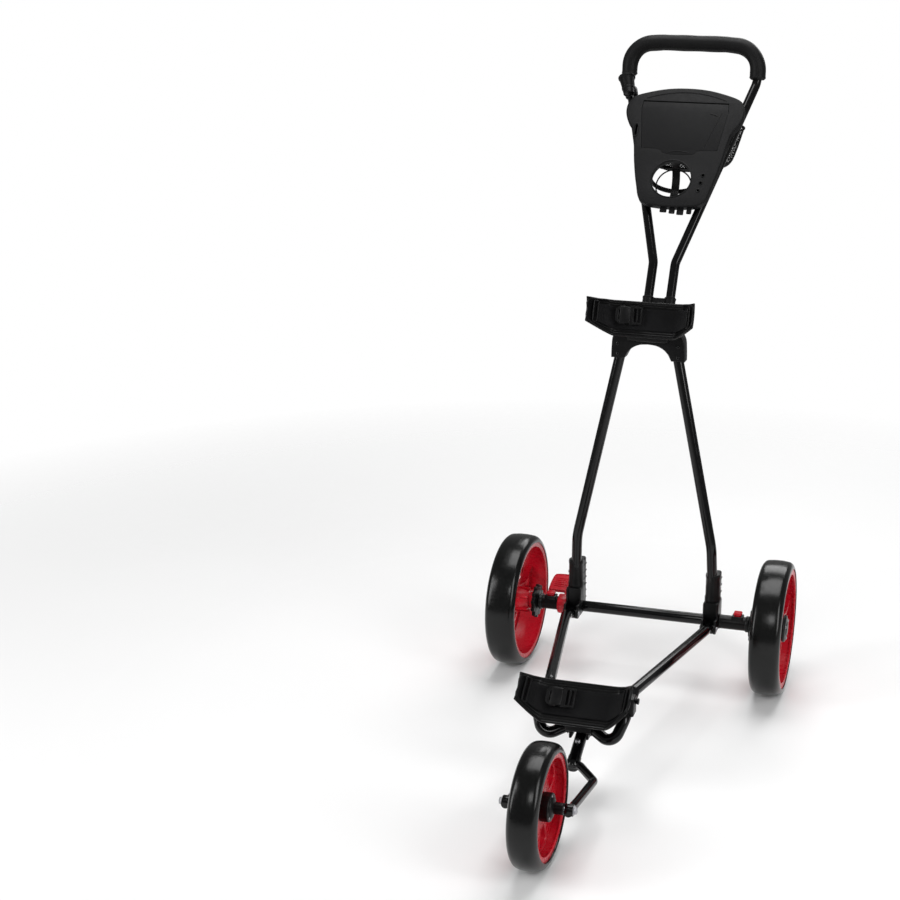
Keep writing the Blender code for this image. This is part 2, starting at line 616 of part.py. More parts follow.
def make_fork():
    """A folding stem, one bar bent into both fork arms, the axle bolt and the lock button."""
    along = (FORK_CROWN - FORK_PIVOT).normalized()
    out = Vector((0, along.z, -along.y))            # out of the stem's front face
    lean = Matrix.Rotation(math.atan2(-out.y, out.z), 4, "X")
    face = BUTTON_AT + out * STEM_RADIUS
    arms_path = FORK_ARM + [(-x, y, z) for x, y, z in reversed(FORK_ARM)]
    fat_arms = tube_mesh(arms_path, FORK_ARM_RADIUS + GAP, bend=0.018, steps=3)
    eye = cylinder_mesh(PIVOT_BORE, LONG, at=FORK_PIVOT, sides=12)
    well = cylinder_mesh(BUTTON_RADIUS + GAP, 0.0140, axis="Z", sides=14)
    well.transform(Matrix.Translation(face) @ lean)
    stem = union(tube_mesh([FORK_PIVOT, FORK_CROWN], STEM_RADIUS, sides=16),
                 cylinder_mesh(STEM_RADIUS, 0.0270, at=FORK_PIVOT, sides=16))
    part("fork_stem", cut(stem, eye, fat_arms, well), BLACK_STEEL)
    button = cylinder_mesh(BUTTON_RADIUS, 0.0100, axis="Z", sides=14)
    button.transform(Matrix.Translation(face + out * 0.0022) @ lean)
    part("fork_lock_button", button, SCREW_STEEL)
    arms = tube_mesh(arms_path, FORK_ARM_RADIUS, bend=0.018, steps=3)
    part("fork_arms", cut(arms, cylinder_mesh(0.0044, LONG, at=FRONT_AXLE)), BLACK_STEEL)
    heads = [cylinder_mesh(0.0070, 0.0050, at=FRONT_AXLE + Vector((x, 0, 0)), sides=6)
             for x in (-0.0669, 0.0669)]
    bolt = union(cylinder_mesh(0.0040, 0.1350, at=FRONT_AXLE, sides=12), *heads)
    part("front_axle_bolt", bolt, SCREW_STEEL)


# Handle, console and what hangs on it ------------------------------------------------------
HANDLE_PLANE = Matrix.Translation(HANDLE_BEND) @ Matrix.Rotation(
    math.pi / 2 - HANDLE_LEAN, 4, "X")          # local Y runs up the handle, Z faces forward
GRIP_END = Vector((0.1438, 0.3657, 1.2654))
HALF_NECK = 0.0237                              # of the two handle tubes, below the bend
LOOP_BEND = 0.052                               # radius of the grip's two corners
CONSOLE_FACE = 0.030                            # above the handle tubes' plane
CUP_AT = (-0.0070, 0.1830)
LID_LOW, LID_HIGH = 0.248, 0.366
LID_MIDDLE = CONSOLE_FACE - 0.0015              # of its thickness, and of its hinge


def console_outline(inset=0.0):
    """Right half from the bottom to the arched top, then the left half."""
    right = [(0.0300, 0.1185), (0.0680, 0.1290), (0.0830, 0.1690), (0.0940, 0.2160),
             (0.1000, 0.2520), (0.1040, 0.2760), (0.1100, 0.2980), (0.1230, 0.3180),
             (0.1300, 0.3390), (0.1290, 0.3600), (0.1180, 0.3780), (0.0880, 0.3900),
             (0.0450, 0.4000), (0.0, 0.4030)]
    middle = Vector((0, 0.26))
    moved = []
    for x, y in right + [(-x, y) for x, y in reversed(right[:-1])]:
        out = Vector((x, y)) - middle
        out = out * (1 - inset / out.length)
        moved.append(tuple(middle + out))
    return moved


def lid_outline(slack=0.0, hinge_room=0.0):
    """Straight along the hinge, with a wavy free edge that has a finger tab."""
    low, high = LID_LOW - slack, LID_HIGH + hinge_room
    edge = [(-0.0830 - slack, low + 0.006), (-0.045, low + 0.004), (-0.028, low - 0.006),
            (0.028, low - 0.006), (0.045, low + 0.004), (0.0830 + slack, low + 0.006)]
    return edge + [(0.0960 + slack, high - 0.02), (0.0940 + slack, high),
                   (-0.0940 - slack, high), (-0.0960 - slack, high - 0.02)]


def on_handle(mesh):
    mesh.transform(HANDLE_PLANE)
    return mesh


def handle_bar(path, radius):
    return tube_mesh(path, radius, bend=LOOP_BEND, steps=6, most=0.76)


def make_handle():
    to_bend = (HANDLE_BEND - HANDLE_PIVOT).normalized()
    half_neck = Vector((HALF_NECK, 0, 0))
    foot = HANDLE_PIVOT + to_bend * 0.0484
    side = [foot + half_neck, HANDLE_BEND + half_neck, GRIP_END,
            Vector((0.1430, 0.3740, 1.3360)), Vector((0.0700, 0.3762, 1.3420))]
    loop = side + [Vector((-p.x, p.y, p.z)) for p in reversed(side)]
    part("handle_tube", handle_bar(loop, HANDLE_TUBE_RADIUS), BLACK_STEEL)
    grip_start = side[2].lerp(side[3], 0.06)
    grip = [grip_start, *side[3:]]
    grip_loop = grip + [Vector((-p.x, p.y, p.z)) for p in reversed(grip)]
    foam = handle_bar(grip_loop, GRIP_RADIUS)
    core = handle_bar(loop, HANDLE_TUBE_RADIUS + GAP)
    part("foam_grip", cut(foam, core), GRIP_FOAM)
    lean = Matrix.Rotation(-math.atan2(to_bend.y, to_bend.z), 3, "X")
    legs = []
    for x in (-HALF_NECK, HALF_NECK):
        leg = cylinder_mesh(0.0120, 0.0480, axis="Z", sides=16)
        leg.transform(Matrix.Translation(HANDLE_PIVOT + to_bend * 0.0240 + Vector((x, 0, 0)))
                      @ lean.to_4x4())
        legs.append(leg)
    bar = box_mesh((0.050, 0.010, 0.012), at=HANDLE_PIVOT + to_bend * 0.0400, turn=lean)
    base = union(cylinder_mesh(0.0155, 0.0722, at=HANDLE_PIVOT), bar, *legs)
    bore = cylinder_mesh(HANDLE_PIN_RADIUS + GAP, LONG, at=HANDLE_PIVOT, sides=16)
    part("handle_base", cut(base, bore), BLACK_PLASTIC)


def make_console():
    depth = 0.0190
    middle = CONSOLE_FACE - depth / 2
    shell = move(plate_mesh(console_outline(), depth, bevel=0.0025), z=middle)
    hollow = move(plate_mesh(console_outline(inset=0.004), depth), z=middle - 0.0030)
    cup = move(cylinder_mesh(0.0430, 0.1, axis="Z", sides=32), *CUP_AT)
    lid_gap = move(plate_mesh(lid_outline(slack=0.0006, hinge_room=0.0026), 0.1), z=middle)
    tees = [move(cylinder_mesh(0.0030, 0.1, axis="Z", sides=10), 0.055 + 0.003 * i,
                 0.158 + 0.018 * i) for i in range(3)]
    part("console_front", on_handle(cut(shell, hollow, cup, lid_gap, *tees)), CONSOLE_PLASTIC)
    part("console_lid", on_handle(move(plate_mesh(lid_outline(), 0.0028), z=LID_MIDDLE)),
         CONSOLE_PLASTIC)
    tray_size = Vector((0.148, 0.104, 0.0520))
    tray = box_mesh(tray_size, at=(0, 0.308, -0.0004), bevel=0.003)
    scoop = box_mesh(tray_size - Vector((0.005, 0.005, 0)), at=(0, 0.308, 0.0026))
    part("console_tray", on_handle(cut(tray, scoop)), CONSOLE_PLASTIC)


def make_cup_basket():
    """A ring under the console's round hole with two crossing straps that make its bottom."""
    ring = ring_mesh(0.0435, 0.0475, 0.0100, axis="Z", sides=28)
    straps = []
    for turn, width, depth in ((0.0, 0.0100, 0.052), (90.0, 0.0170, 0.046)):
        def band(u, v, width=width, depth=depth):
            angle = math.pi * u
            return Vector((-0.0455 * math.cos(angle) * (0.80 + 0.20 * abs(math.cos(angle))),
                           width * (v - 0.5), -depth * math.sin(angle) ** 0.7))
        strap = sheet_mesh(band, 14, 1, 0.0025)
        strap.transform(Matrix.Rotation(math.radians(turn), 4, "Z"))
        straps.append(strap)
    mesh = union(ring, *straps)
    part("cup_basket", on_handle(move(mesh, *CUP_AT, 0.0212)), BLACK_PLASTIC)


def make_net_bag():
    """A deep pocket behind the console, open at its top."""
    def pocket(u, v):
        angle = math.tau * u
        narrow = 1 - 0.24 * v - 0.42 * max(0.0, (v - 0.6) / 0.4) ** 2
        deep = 0.030 + 0.010 * math.sin(math.pi * v) - 0.024 * max(0.0, (v - 0.5) / 0.5) ** 2
        return Vector((0.118 * narrow * math.cos(angle), 0.362 - 0.122 * v,
                       -0.0320 - deep + deep * math.sin(angle)))
    bm = bmesh.new()
    around, down = 24, 6
    rings = [[bm.verts.new(pocket(i / around, j / down)) for i in range(around)]
             for j in range(down + 1)]
    for upper, lower in zip(rings, rings[1:]):
        for i in range(around):
            nxt = (i + 1) % around
            bm.faces.new((upper[i], upper[nxt], lower[nxt], lower[i]))
    bm.faces.new(rings[-1])
    obj = helper("net", mesh_of(bm))
    thicken = obj.modifiers.new("thickness", "SOLIDIFY")
    thicken.thickness = 0.0018
    thicken.offset = 0.0
    part("net_bag", on_handle(baked(obj)), NET)


def make_umbrella_holder():
    """A funnel held in front of the left handle tube by a clamp, just below the grip."""
    up = Vector((-GRIP_END.x, GRIP_END.y, GRIP_END.z)) - HANDLE_BEND + Vector((HALF_NECK, 0, 0))
    up.normalize()
    mouth = Vector((-0.1410, 0.3288, 1.2676))
    length = 0.0440
    turn = Vector((0, 0, 1)).rotation_difference(up).to_matrix().to_4x4()
    funnel = cylinder_mesh(0.0120, length, axis="Z", sides=20, top_radius=0.0185)
    bore = cylinder_mesh(0.0095, length, at=(0, 0, 0.003), axis="Z", sides=20, top_radius=0.0160)
    socket = cut(funnel, bore)
    socket.transform(Matrix.Translation(mouth - up * length / 2) @ turn)
    part("umbrella_socket", socket, BLACK_PLASTIC)
    grip_end = Vector((-GRIP_END.x, GRIP_END.y, GRIP_END.z))
    reach = mouth - grip_end
    out = reach - up * reach.dot(up)
    centre = grip_end + up * (reach.dot(up) - length / 2)
    clamp = ring_mesh(HANDLE_TUBE_RADIUS + GAP, 0.0140, 0.0200, axis="Z", sides=16)
    clamp.transform(Matrix.Translation(centre) @ turn)
    bridge_end = out.length - 0.0170
    frame = Matrix((up.cross(out.normalized()), out.normalized(), up)).transposed().to_4x4()
    bridge = box_mesh((0.010, bridge_end - 0.0120, 0.016), at=(0, (bridge_end + 0.0120) / 2, 0))
    bridge.transform(Matrix.Translation(centre) @ frame)
    part("umbrella_clamp", union(clamp, bridge), BLACK_PLASTIC)


def hang(name, at, pieces, parent=LAYOUT, parent_at=Vector()):
    """Hangs pieces from an empty on the axis that they turn about or slide along."""
    empty = bpy.data.objects.new(name, None)
    empty.empty_display_size = 0.05
    PARTS.objects.link(empty)
    empty.parent = parent
    empty.location = at - parent_at
    for piece in pieces:
        obj = bpy.data.objects[piece]
        obj.parent = empty
        obj.location = -at
    return empty


def hang_moving_pieces():
    lower = hang("lower_frame_axis", FOLD_PIVOT, [
        "lower_tube_left", "lower_tube_right", "fork_head", "fork_pin", "lower_saddle",
        "lower_strap", "lower_buckle", "saddle_stud_left", "saddle_stud_right"])
    fork = hang("fork_axis", FORK_PIVOT, ["fork_stem", "fork_arms", "front_axle_bolt"],
                lower, FOLD_PIVOT)
    hang("fork_lock_button_axis", BUTTON_AT, ["fork_lock_button"], fork, FORK_PIVOT)
    hang("front_wheel_axis", FRONT_AXLE, ["front_tyre", "front_rim", "front_hub"],
         fork, FORK_PIVOT)
    for side, x in (("left", -REAR_TRACK / 2), ("right", REAR_TRACK / 2)):
        hang("rear_wheel_axis_" + side, Vector((x, 0, AXLE_Z)), [
            f"{piece}_{side}"
            for piece in ("rear_tyre", "rear_rim", "hub_cap", "brake_disc", "wheel_pin")])
        hang("release_tab_axis_" + side, Vector((math.copysign(TAB_X, x), 0, AXLE_Z)),
             ["release_tab_" + side])
    hang("brake_pedal_axis", Vector((PEDAL_X, 0, AXLE_Z)), ["brake_pedal"])
    hang("lock_knob_axis", Vector((KNOB_X, *HANDLE_PIVOT.yz)), ["lock_knob", "knob_cap"])
    handle = hang("handle_axis", HANDLE_PIVOT, [
        "handle_tube", "handle_base", "foam_grip", "console_front", "console_tray",
        "cup_basket", "net_bag", "umbrella_clamp", "umbrella_socket"])
    hang("console_lid_axis", HANDLE_PLANE @ Vector((0, LID_HIGH, LID_MIDDLE)),
         ["console_lid"], handle, HANDLE_PIVOT)


make_rear_wheels()
make_front_wheel()
make_rear_axle()
make_brake_pedal()
make_yoke()
make_lock_knob()
make_lower_frame()
make_fork()
make_saddles()
make_handle()
make_console()
make_cup_basket()
make_net_bag()
make_umbrella_holder()
hang_moving_pieces()
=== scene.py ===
"""Looks of the folding golf push trolley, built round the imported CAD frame.

Shapes are laid out as in the CAD, but in millimetres: y is measured from the rear axle, and z
from the ground. add() scales a finished shape to metres and moves it to its place in the world.
"""

import math

import bmesh
import bpy
from mathutils import Matrix, Vector


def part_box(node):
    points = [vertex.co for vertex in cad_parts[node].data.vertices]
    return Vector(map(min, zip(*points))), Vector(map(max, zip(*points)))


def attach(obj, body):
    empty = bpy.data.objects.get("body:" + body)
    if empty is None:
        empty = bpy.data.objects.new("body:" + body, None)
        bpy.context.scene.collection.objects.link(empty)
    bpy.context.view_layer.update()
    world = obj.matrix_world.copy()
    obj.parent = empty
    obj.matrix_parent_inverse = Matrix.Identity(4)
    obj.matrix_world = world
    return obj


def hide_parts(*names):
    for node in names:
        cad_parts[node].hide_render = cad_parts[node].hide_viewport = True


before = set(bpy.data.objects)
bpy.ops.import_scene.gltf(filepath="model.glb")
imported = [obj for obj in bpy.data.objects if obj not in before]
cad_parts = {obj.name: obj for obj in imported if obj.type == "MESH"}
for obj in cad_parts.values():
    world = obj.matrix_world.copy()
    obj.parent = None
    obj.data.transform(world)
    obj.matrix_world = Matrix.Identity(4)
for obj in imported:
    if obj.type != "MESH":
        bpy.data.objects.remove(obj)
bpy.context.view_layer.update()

# Layout ------------------------
MM = 0.001
_low, _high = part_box("rear_tyre_right")
REAR_Y = (_low.y + _high.y) / 2  # the rear axle in the world, in metres
TO_WORLD = Matrix.Translation((0, REAR_Y, 0)) @ Matrix.Scale(MM, 4)
TURNS = {"X": Matrix.Rotation(math.radians(90), 4, "Y"),
         "Y": Matrix.Rotation(math.radians(-90), 4, "X"), "Z": Matrix()}
ORIGIN = (0, 0, 0)
SIDES = (-1, 1)

REAR_RADIUS, REAR_WIDTH = 145, 66
AXLE_Z = REAR_RADIUS
REAR_WHEEL = Vector((287.5, 0, AXLE_Z))
FRONT_RADIUS, FRONT_WIDTH = 110, 55
FRONT_AXLE = Vector((0, -795, FRONT_RADIUS))
TUBE, CROSS_TUBE, HANDLE_TUBE, GRIP, SLEEVE = 11, 12, 9.8, 17.2, 15  # radii
SPINDLE = 6.8  # bore round the rear wheels' pins
HINGE = Vector((153, -40, 142))
BLOCK_HALF = 17  # half the width of a hinge block
FORK_PIVOT = Vector((0, -492, 112))
HANDLE_PIVOT = Vector((0, 55, 790))
HANDLE_BEND = Vector((0, 118.5, 899))
HANDLE_LEAN = math.radians(34)
TAB = Vector((210, 0, AXLE_Z))
PEDAL_AT = Vector((-181.2, 0, AXLE_Z))
PEDAL_TILT = Matrix.Rotation(math.radians(16), 3, "X")
MAIN_TUBE = [(HINGE.x, 0, 193.5), (148.5, -12, 313.7), (59.2, -6.6, 735)]
LOWER_TUBE = [(HINGE.x, -29, 142), (HINGE.x, -82, 154), (83.5, -440, 172), (84.5, -520, 150),
              (68, -543, 106), (20, -521, 127)]
FORK_CROWN = Vector((0, -568, 74))
FORK_ARM = [(56, FRONT_AXLE.y - 10, FRONT_RADIUS), (56, -632, 78), (13, -574, 74)]
GRIP_END = Vector((143.8, 365.7, 1265.4))
HALF_NECK = 23.7
HANDLE_PLANE = Matrix.Translation(HANDLE_BEND) @ Matrix.Rotation(
    math.pi / 2 - HANDLE_LEAN, 4, "X")  # local Y runs up the handle, Z faces forward
FACE = 30  # the console's front, above that plane
LID_LOW, LID_HIGH = 248, 366
CUP_AT = (-7, 183)
SLOT_AT = (-101, 296)
CONSOLE_SCREWS = ((38, 150), (93.5, 300), (70, 378))
TEES = [(55 + 3 * i, 158 + 18 * i) for i in range(3)]
TOP_ARM, BOTTOM_ARM = 0.72, 0.58  # where a saddle's arms start, of its half width
SADDLES = {
    "upper": dict(top=Vector((0, -46, 844)), bottom=Vector((0, -66, 776)), half_width=108,
                  top_end=Vector((0, -100, 860)), bottom_end=Vector((0, -112, 813))),
    "lower": dict(top=Vector((0, -520, 214)), bottom=Vector((0, -574, 152)), half_width=105,
                  top_end=Vector((0, -555, 238)), bottom_end=Vector((0, -594, 202)))}
YOKE_SIDE = [(78, 719), (77.5, 742), (74.5, 766), (60, 785), (40, 795)]
YOKE_ARCH = [(0, 751), (18, 749), (33, 742), (43, 732)]

STEEL, PLASTIC, CONSOLE, RED, TYRE, FOAM, WEBBING, NET, ZINC = (
    "black_steel", "black_plastic", "console_plastic", "red_plastic", "tyre_foam", "grip_foam",
    "webbing", "net", "screw_steel")


# Camera, lights and floor, in metres ---
CAMERA_ANGLES = (12.65, 16.95, 1.44)  # azimuth, elevation and roll
CAMERA_AT = (0.6699, -3.0336 + REAR_Y, 1.4567)
CAMERA_LENS, CAMERA_SENSOR, CAMERA_SHIFT, CAMERA_REACH = 61.13, 36, (-0.2136, 0.0038), 50
LIGHTS = {  # place, target, size, power
    "top_box": ((0, 0.5, 3.1), (0, 0.3, 0.5), (1.9, 1.7), 52),
    "left_box": ((-2.3, -1.7, 1.5), (0, 0, 0.7), (1.0, 2.2), 40),
    "right_box": ((2.4, -1.2, 1.6), (0, 0, 0.7), (1.0, 2.2), 36),
    "front_box": ((0.5, -3.2, 2.6), (0, 0, 0.6), (1.0, 0.8), 18),
    "back_box": ((0.3, 2.8, 2.4), (0, 0, 0.7), (2.2, 1.4), 40)}
REFLECTED_WORLD, SEEN_WORLD = 0.22, 1.0  # strength of the white surroundings
FLOOR_RADIUS, FLOOR_FADE = 14.0, (1.1, 2.6)


def make_camera():
    azimuth, elevation, roll = (math.radians(a) for a in CAMERA_ANGLES)
    back = Vector((math.sin(azimuth) * math.cos(elevation),
                   -math.cos(azimuth) * math.cos(elevation), math.sin(elevation)))
    right = Vector((math.cos(azimuth), math.sin(azimuth), 0))
    up = back.cross(right)
    side = right * math.cos(roll) + up * math.sin(roll)
    top = up * math.cos(roll) - right * math.sin(roll)
    data = bpy.data.cameras.new("camera")
    data.lens, data.sensor_width = CAMERA_LENS, CAMERA_SENSOR
    data.shift_x, data.shift_y = CAMERA_SHIFT
    data.clip_end = CAMERA_REACH
    camera = bpy.data.objects.new("camera", data)
    bpy.context.scene.collection.objects.link(camera)
    turn = Matrix((side, top, back)).transposed().to_4x4()
    camera.matrix_world = Matrix.Translation(CAMERA_AT) @ turn
    bpy.context.scene.camera = camera


def make_studio():
    world = bpy.data.worlds.new("studio")
    world.use_nodes = True
    tree = world.node_tree
    background = tree.nodes["Background"]
    background.inputs["Color"].default_value = (1.0, 1.0, 1.0, 1.0)
    path = tree.nodes.new("ShaderNodeLightPath")
    strength = tree.nodes.new("ShaderNodeMapRange")  # white behind, dim in reflections
    strength.inputs["To Min"].default_value = REFLECTED_WORLD
    strength.inputs["To Max"].default_value = SEEN_WORLD
    tree.links.new(path.outputs["Is Camera Ray"], strength.inputs["Value"])
    tree.links.new(strength.outputs["Result"], background.inputs["Strength"])
    bpy.context.scene.world = world
    bpy.context.scene.view_settings.view_transform = "Standard"
    for name, (at, target, size, power) in LIGHTS.items():
        data = bpy.data.lights.new(name, "AREA")
        data.shape, data.energy = "RECTANGLE", power
        data.size, data.size_y = size
        light = bpy.data.objects.new(name, data)
        light.location = at
        aim = Vector(target) - Vector(at)
        light.rotation_euler = aim.to_track_quat("-Z", "Y").to_euler()
        bpy.context.scene.collection.objects.link(light)
    bm = bmesh.new()
    bmesh.ops.create_circle(bm, cap_ends=True, segments=96, radius=FLOOR_RADIUS)
    mesh_object("floor", mesh_of(bm), FLOOR)


# Materials ---------------------
class Shader:
    """A Principled material and the few node chains that the finishes share."""

    def __init__(self, name, colour, roughness, metallic=0.0, **settings):
        self.made = bpy.data.materials.new(name)
        self.made.use_nodes = True
        self.tree = self.made.node_tree
        self.bsdf = self.tree.nodes["Principled BSDF"]
        values = {"Base Color": (*colour, 1.0), "Roughness": roughness, "Metallic": metallic}
        values |= {socket.replace("_", " "): value for socket, value in settings.items()}
        for socket, value in values.items():
            self.bsdf.inputs[socket].default_value = value
        self.colour, self.roughness, self.height = colour, roughness, None
        self.where = self.tree.nodes.new("ShaderNodeTexCoord").outputs["Object"]

    def node(self, kind, **values):
        made = self.tree.nodes.new(kind)
        for key, value in values.items():
            if hasattr(made, key):
                setattr(made, key, value)
            else:
                made.inputs[key.replace("_", " ")].default_value = value
        return made

    def link(self, source, target):
        self.tree.links.new(source, target)

    def noise(self, scale, detail=3.0, stretch=None):
        where = self.where
        if stretch:
            mapping = self.node("ShaderNodeMapping", Scale=stretch)
            self.link(where, mapping.inputs["Vector"])
            where = mapping.outputs["Vector"]
        made = self.node("ShaderNodeTexNoise", Scale=scale, Detail=detail, Roughness=0.55)
        self.link(where, made.inputs["Vector"])
        return made.outputs["Fac"]

    def cells(self, scale):
        made = self.node("ShaderNodeTexVoronoi", feature="F1", Scale=scale)
        self.link(self.where, made.inputs["Vector"])
        return made.outputs["Distance"]

    def waves(self, scale, direction, distortion=0.0):
        made = self.node("ShaderNodeTexWave", bands_direction=direction, wave_profile="SIN",
                         Scale=scale, Distortion=distortion)
        self.link(self.where, made.inputs["Vector"])
        return made.outputs["Fac"]

    def ranged(self, source, low, high, from_low=0.3, from_high=0.7):
        made = self.node("ShaderNodeMapRange", From_Min=from_low, From_Max=from_high,
                         To_Min=low, To_Max=high)
        self.link(source, made.inputs["Value"])
        return made.outputs["Result"]

    def product(self, a, b):
        made = self.node("ShaderNodeMath", operation="MULTIPLY")
        self.link(a, made.inputs[0])
        self.link(b, made.inputs[1])
        return made.outputs[0]

    def blend(self, factor, start, end):
        """Base colour from start, a colour or a socket, to end as the factor rises."""
        mix = self.node("ShaderNodeMix", data_type="RGBA")
        factor_in, start_in, end_in, result = (mix.inputs[0], mix.inputs[6], mix.inputs[7],
                                               mix.outputs[2])
        if isinstance(start, (tuple, list)):
            start_in.default_value = (*start, 1.0)
        else:
            self.link(start, start_in)
        end_in.default_value = (*end, 1.0)
        self.link(factor, factor_in)
        self.link(result, self.bsdf.inputs["Base Color"])
        return result

    def mottle(self, scale, amount, wear=0.0):
        """Slow colour and roughness change; wear lightens the outer edges."""
        dark, light = ([c * (1 + way * amount) for c in self.colour] for way in SIDES)
        drift = self.ranged(self.noise(scale, 5.0), 0.0, 1.0)
        mixed = self.blend(drift, dark, light)
        rough = self.ranged(self.noise(scale * 7, 4.0), self.roughness - 0.05,
                            self.roughness + 0.06)
        self.link(rough, self.bsdf.inputs["Roughness"])
        if wear:
            geometry = self.node("ShaderNodeNewGeometry")
            edges = self.ranged(geometry.outputs["Pointiness"], 0.0, wear, 0.53, 0.62)
            self.blend(edges, mixed, [min(1.0, c * 2.2 + 0.02) for c in self.colour])

    def bump(self, source, strength, distance):
        """Adds a height; each call stacks on the one before."""
        made = self.node("ShaderNodeBump", Strength=strength, Distance=distance)
        self.link(source, made.inputs["Height"])
        if self.height is not None:
            self.link(self.height, made.inputs["Normal"])
        self.height = made.outputs["Normal"]
        self.link(self.height, self.bsdf.inputs["Normal"])


def make_materials():
    steel = Shader("gloss_black_paint", (0.001, 0.001, 0.0012), 0.13, Specular_IOR_Level=0.32)
    steel.mottle(14, 0.2, wear=0.05)
    steel.bump(steel.noise(420, 2.0), 0.06, 0.4 * MM)
    plastic = Shader("moulded_black_plastic", (0.0018, 0.0018, 0.002), 0.34,
                     Specular_IOR_Level=0.2)
    plastic.mottle(22, 0.22, wear=0.16)
    plastic.bump(plastic.cells(1500), 0.16, 0.3 * MM)
    plastic.bump(plastic.noise(60), 0.05, MM)
    console = Shader("charcoal_console_plastic", (0.0042, 0.0042, 0.0046), 0.5,
                     Specular_IOR_Level=0.15)
    console.mottle(12, 0.14, wear=0.14)
    console.bump(console.cells(1900), 0.3, 0.3 * MM)
    console.bump(console.noise(900), 0.12, 0.3 * MM)
    red = Shader("gloss_red_plastic", (0.47, 0.005, 0.016), 0.28, Specular_IOR_Level=0.36)
    red.mottle(16, 0.05, wear=0.05)
    red.bump(red.noise(260, 2.0), 0.03, 0.3 * MM)
    tyre = Shader("black_foam_tyre", (0.0018, 0.002, 0.0019), 0.21, Specular_IOR_Level=0.32)
    tyre.mottle(26, 0.22)
    tyre.bump(tyre.noise(24, 2.0), 0.05, 1.2 * MM)
    foam = Shader("soft_grip_foam", (0.0018, 0.0018, 0.002), 0.5, Specular_IOR_Level=0.17,
                  Sheen_Weight=0.02, Sheen_Roughness=0.5)
    foam.mottle(20, 0.18)
    foam.bump(foam.cells(850), 0.3, 0.4 * MM)
    foam.bump(foam.noise(50), 0.16, 1.2 * MM)
    webbing = Shader("nylon_webbing", (0.003, 0.003, 0.0033), 0.6, Specular_IOR_Level=0.12,
                     Sheen_Weight=0.03, Sheen_Roughness=0.4)
    weave = webbing.product(webbing.waves(380, "X"), webbing.waves(300, "Z", 0.4))
    webbing.blend(webbing.ranged(weave, 0.0, 1.0, 0.1, 0.8), (0.0026, 0.0026, 0.003),
                  (0.0062, 0.0062, 0.007))
    webbing.bump(weave, 0.7, 0.6 * MM)
    net = Shader("knitted_net", (0.0045, 0.0045, 0.0045), 0.55, Specular_IOR_Level=0.2,
                 Sheen_Weight=0.03)
    net.mottle(90, 0.4)
    net.bump(net.waves(900, "DIAGONAL"), 0.5, 0.2 * MM)
    zinc = Shader("zinc_plated_steel", (0.4, 0.4, 0.42), 0.34, 1.0)
    zinc.mottle(70, 0.12)
    zinc.bump(zinc.noise(900, 2.0, stretch=(1.0, 1.0, 0.08)), 0.12, 0.2 * MM)
    floor = Shader("pale_floor", (0.86, 0.86, 0.86), 0.65)
    floor.blend(floor.ranged(floor.noise(1.3, 2.0), 0.0, 1.0), (0.85, 0.85, 0.85),
                (0.87, 0.87, 0.87))
    reach = floor.node("ShaderNodeVectorMath", operation="LENGTH")
    floor.link(floor.where, reach.inputs[0])
    floor.link(floor.ranged(reach.outputs["Value"], 1.0, 0.0, *FLOOR_FADE),
               floor.bsdf.inputs["Alpha"])
    finishes = {STEEL: steel, PLASTIC: plastic, CONSOLE: console, RED: red, TYRE: tyre,
                FOAM: foam, WEBBING: webbing, NET: net, ZINC: zinc}
    return {slot: shader.made for slot, shader in finishes.items()}, floor.made


FINISH, FLOOR = make_materials()


# Shapes ------------------------
WELD = 0.001  # corners nearer than this become one


def mesh_of(bm, outward=True):
    if outward:
        bmesh.ops.recalc_face_normals(bm, faces=bm.faces[:])
    mesh = bpy.data.meshes.new("mesh")
    bm.to_mesh(mesh)
    bm.free()
    return mesh


def placed(mesh, at=ORIGIN, turn=None):
    mesh.transform(Matrix.Translation(at) @ (turn.to_4x4() if turn else Matrix()))
    return mesh


def joined(*meshes):
    """One mesh of several shells."""
    bm = bmesh.new()
    for mesh in meshes:
        bm.from_mesh(mesh)
    return mesh_of(bm, outward=False)


def mirrored(mesh):
    made = mesh.copy()
    made.transform(Matrix.Diagonal((-1, 1, 1, 1)))
    made.flip_normals()
    return made


def turned(degrees, axis="Z"):
    return Matrix.Rotation(math.radians(degrees), 3, axis)


def facing(direction):
    """The turn that takes Z to a direction."""
    return Vector((0, 0, 1)).rotation_difference(Vector(direction)).to_matrix()


def round_angles(count):
    return [math.tau * i / count for i in range(count)]


def circle(centre, radius, count=48):
    return [(centre[0] + radius * math.cos(a), centre[1] + radius * math.sin(a))
            for a in round_angles(count)]


def length_of(path):
    return sum((b - a).length for a, b in zip(path, path[1:]))


def bridge_rings(bm, rings, closed=False):
    """Quads, or triangles at a single point, between each ring of corners and the next."""
    for a, b in list(zip(rings, rings[1:])) + ([(rings[-1], rings[0])] if closed else []):
        count = max(len(a), len(b))
        for i in range(count) if count > 1 else ():
            j = (i + 1) % count
            if len(a) == 1:
                bm.faces.new((a[0], b[j], b[i]))
            elif len(b) == 1:
                bm.faces.new((a[i], a[j], b[0]))
            else:
                bm.faces.new((a[i], a[j], b[j], b[i]))


def box(size, at=ORIGIN, edge=1.0, turn=None, segments=3, taper=(1.0, 1.0)):
    """A box with rounded edges; taper scales its top in x and y."""
    bm = bmesh.new()
    bmesh.ops.create_cube(bm, size=1.0)
    for v in bm.verts:
        if v.co.z > 0:
            v.co.x *= taper[0]
            v.co.y *= taper[1]
        v.co = Vector((v.co.x * size[0], v.co.y * size[1], v.co.z * size[2]))
    if edge:
        bmesh.ops.bevel(bm, geom=bm.edges[:], offset=edge, segments=segments, affect="EDGES",
                        profile=0.5)
    return placed(mesh_of(bm), at, turn)


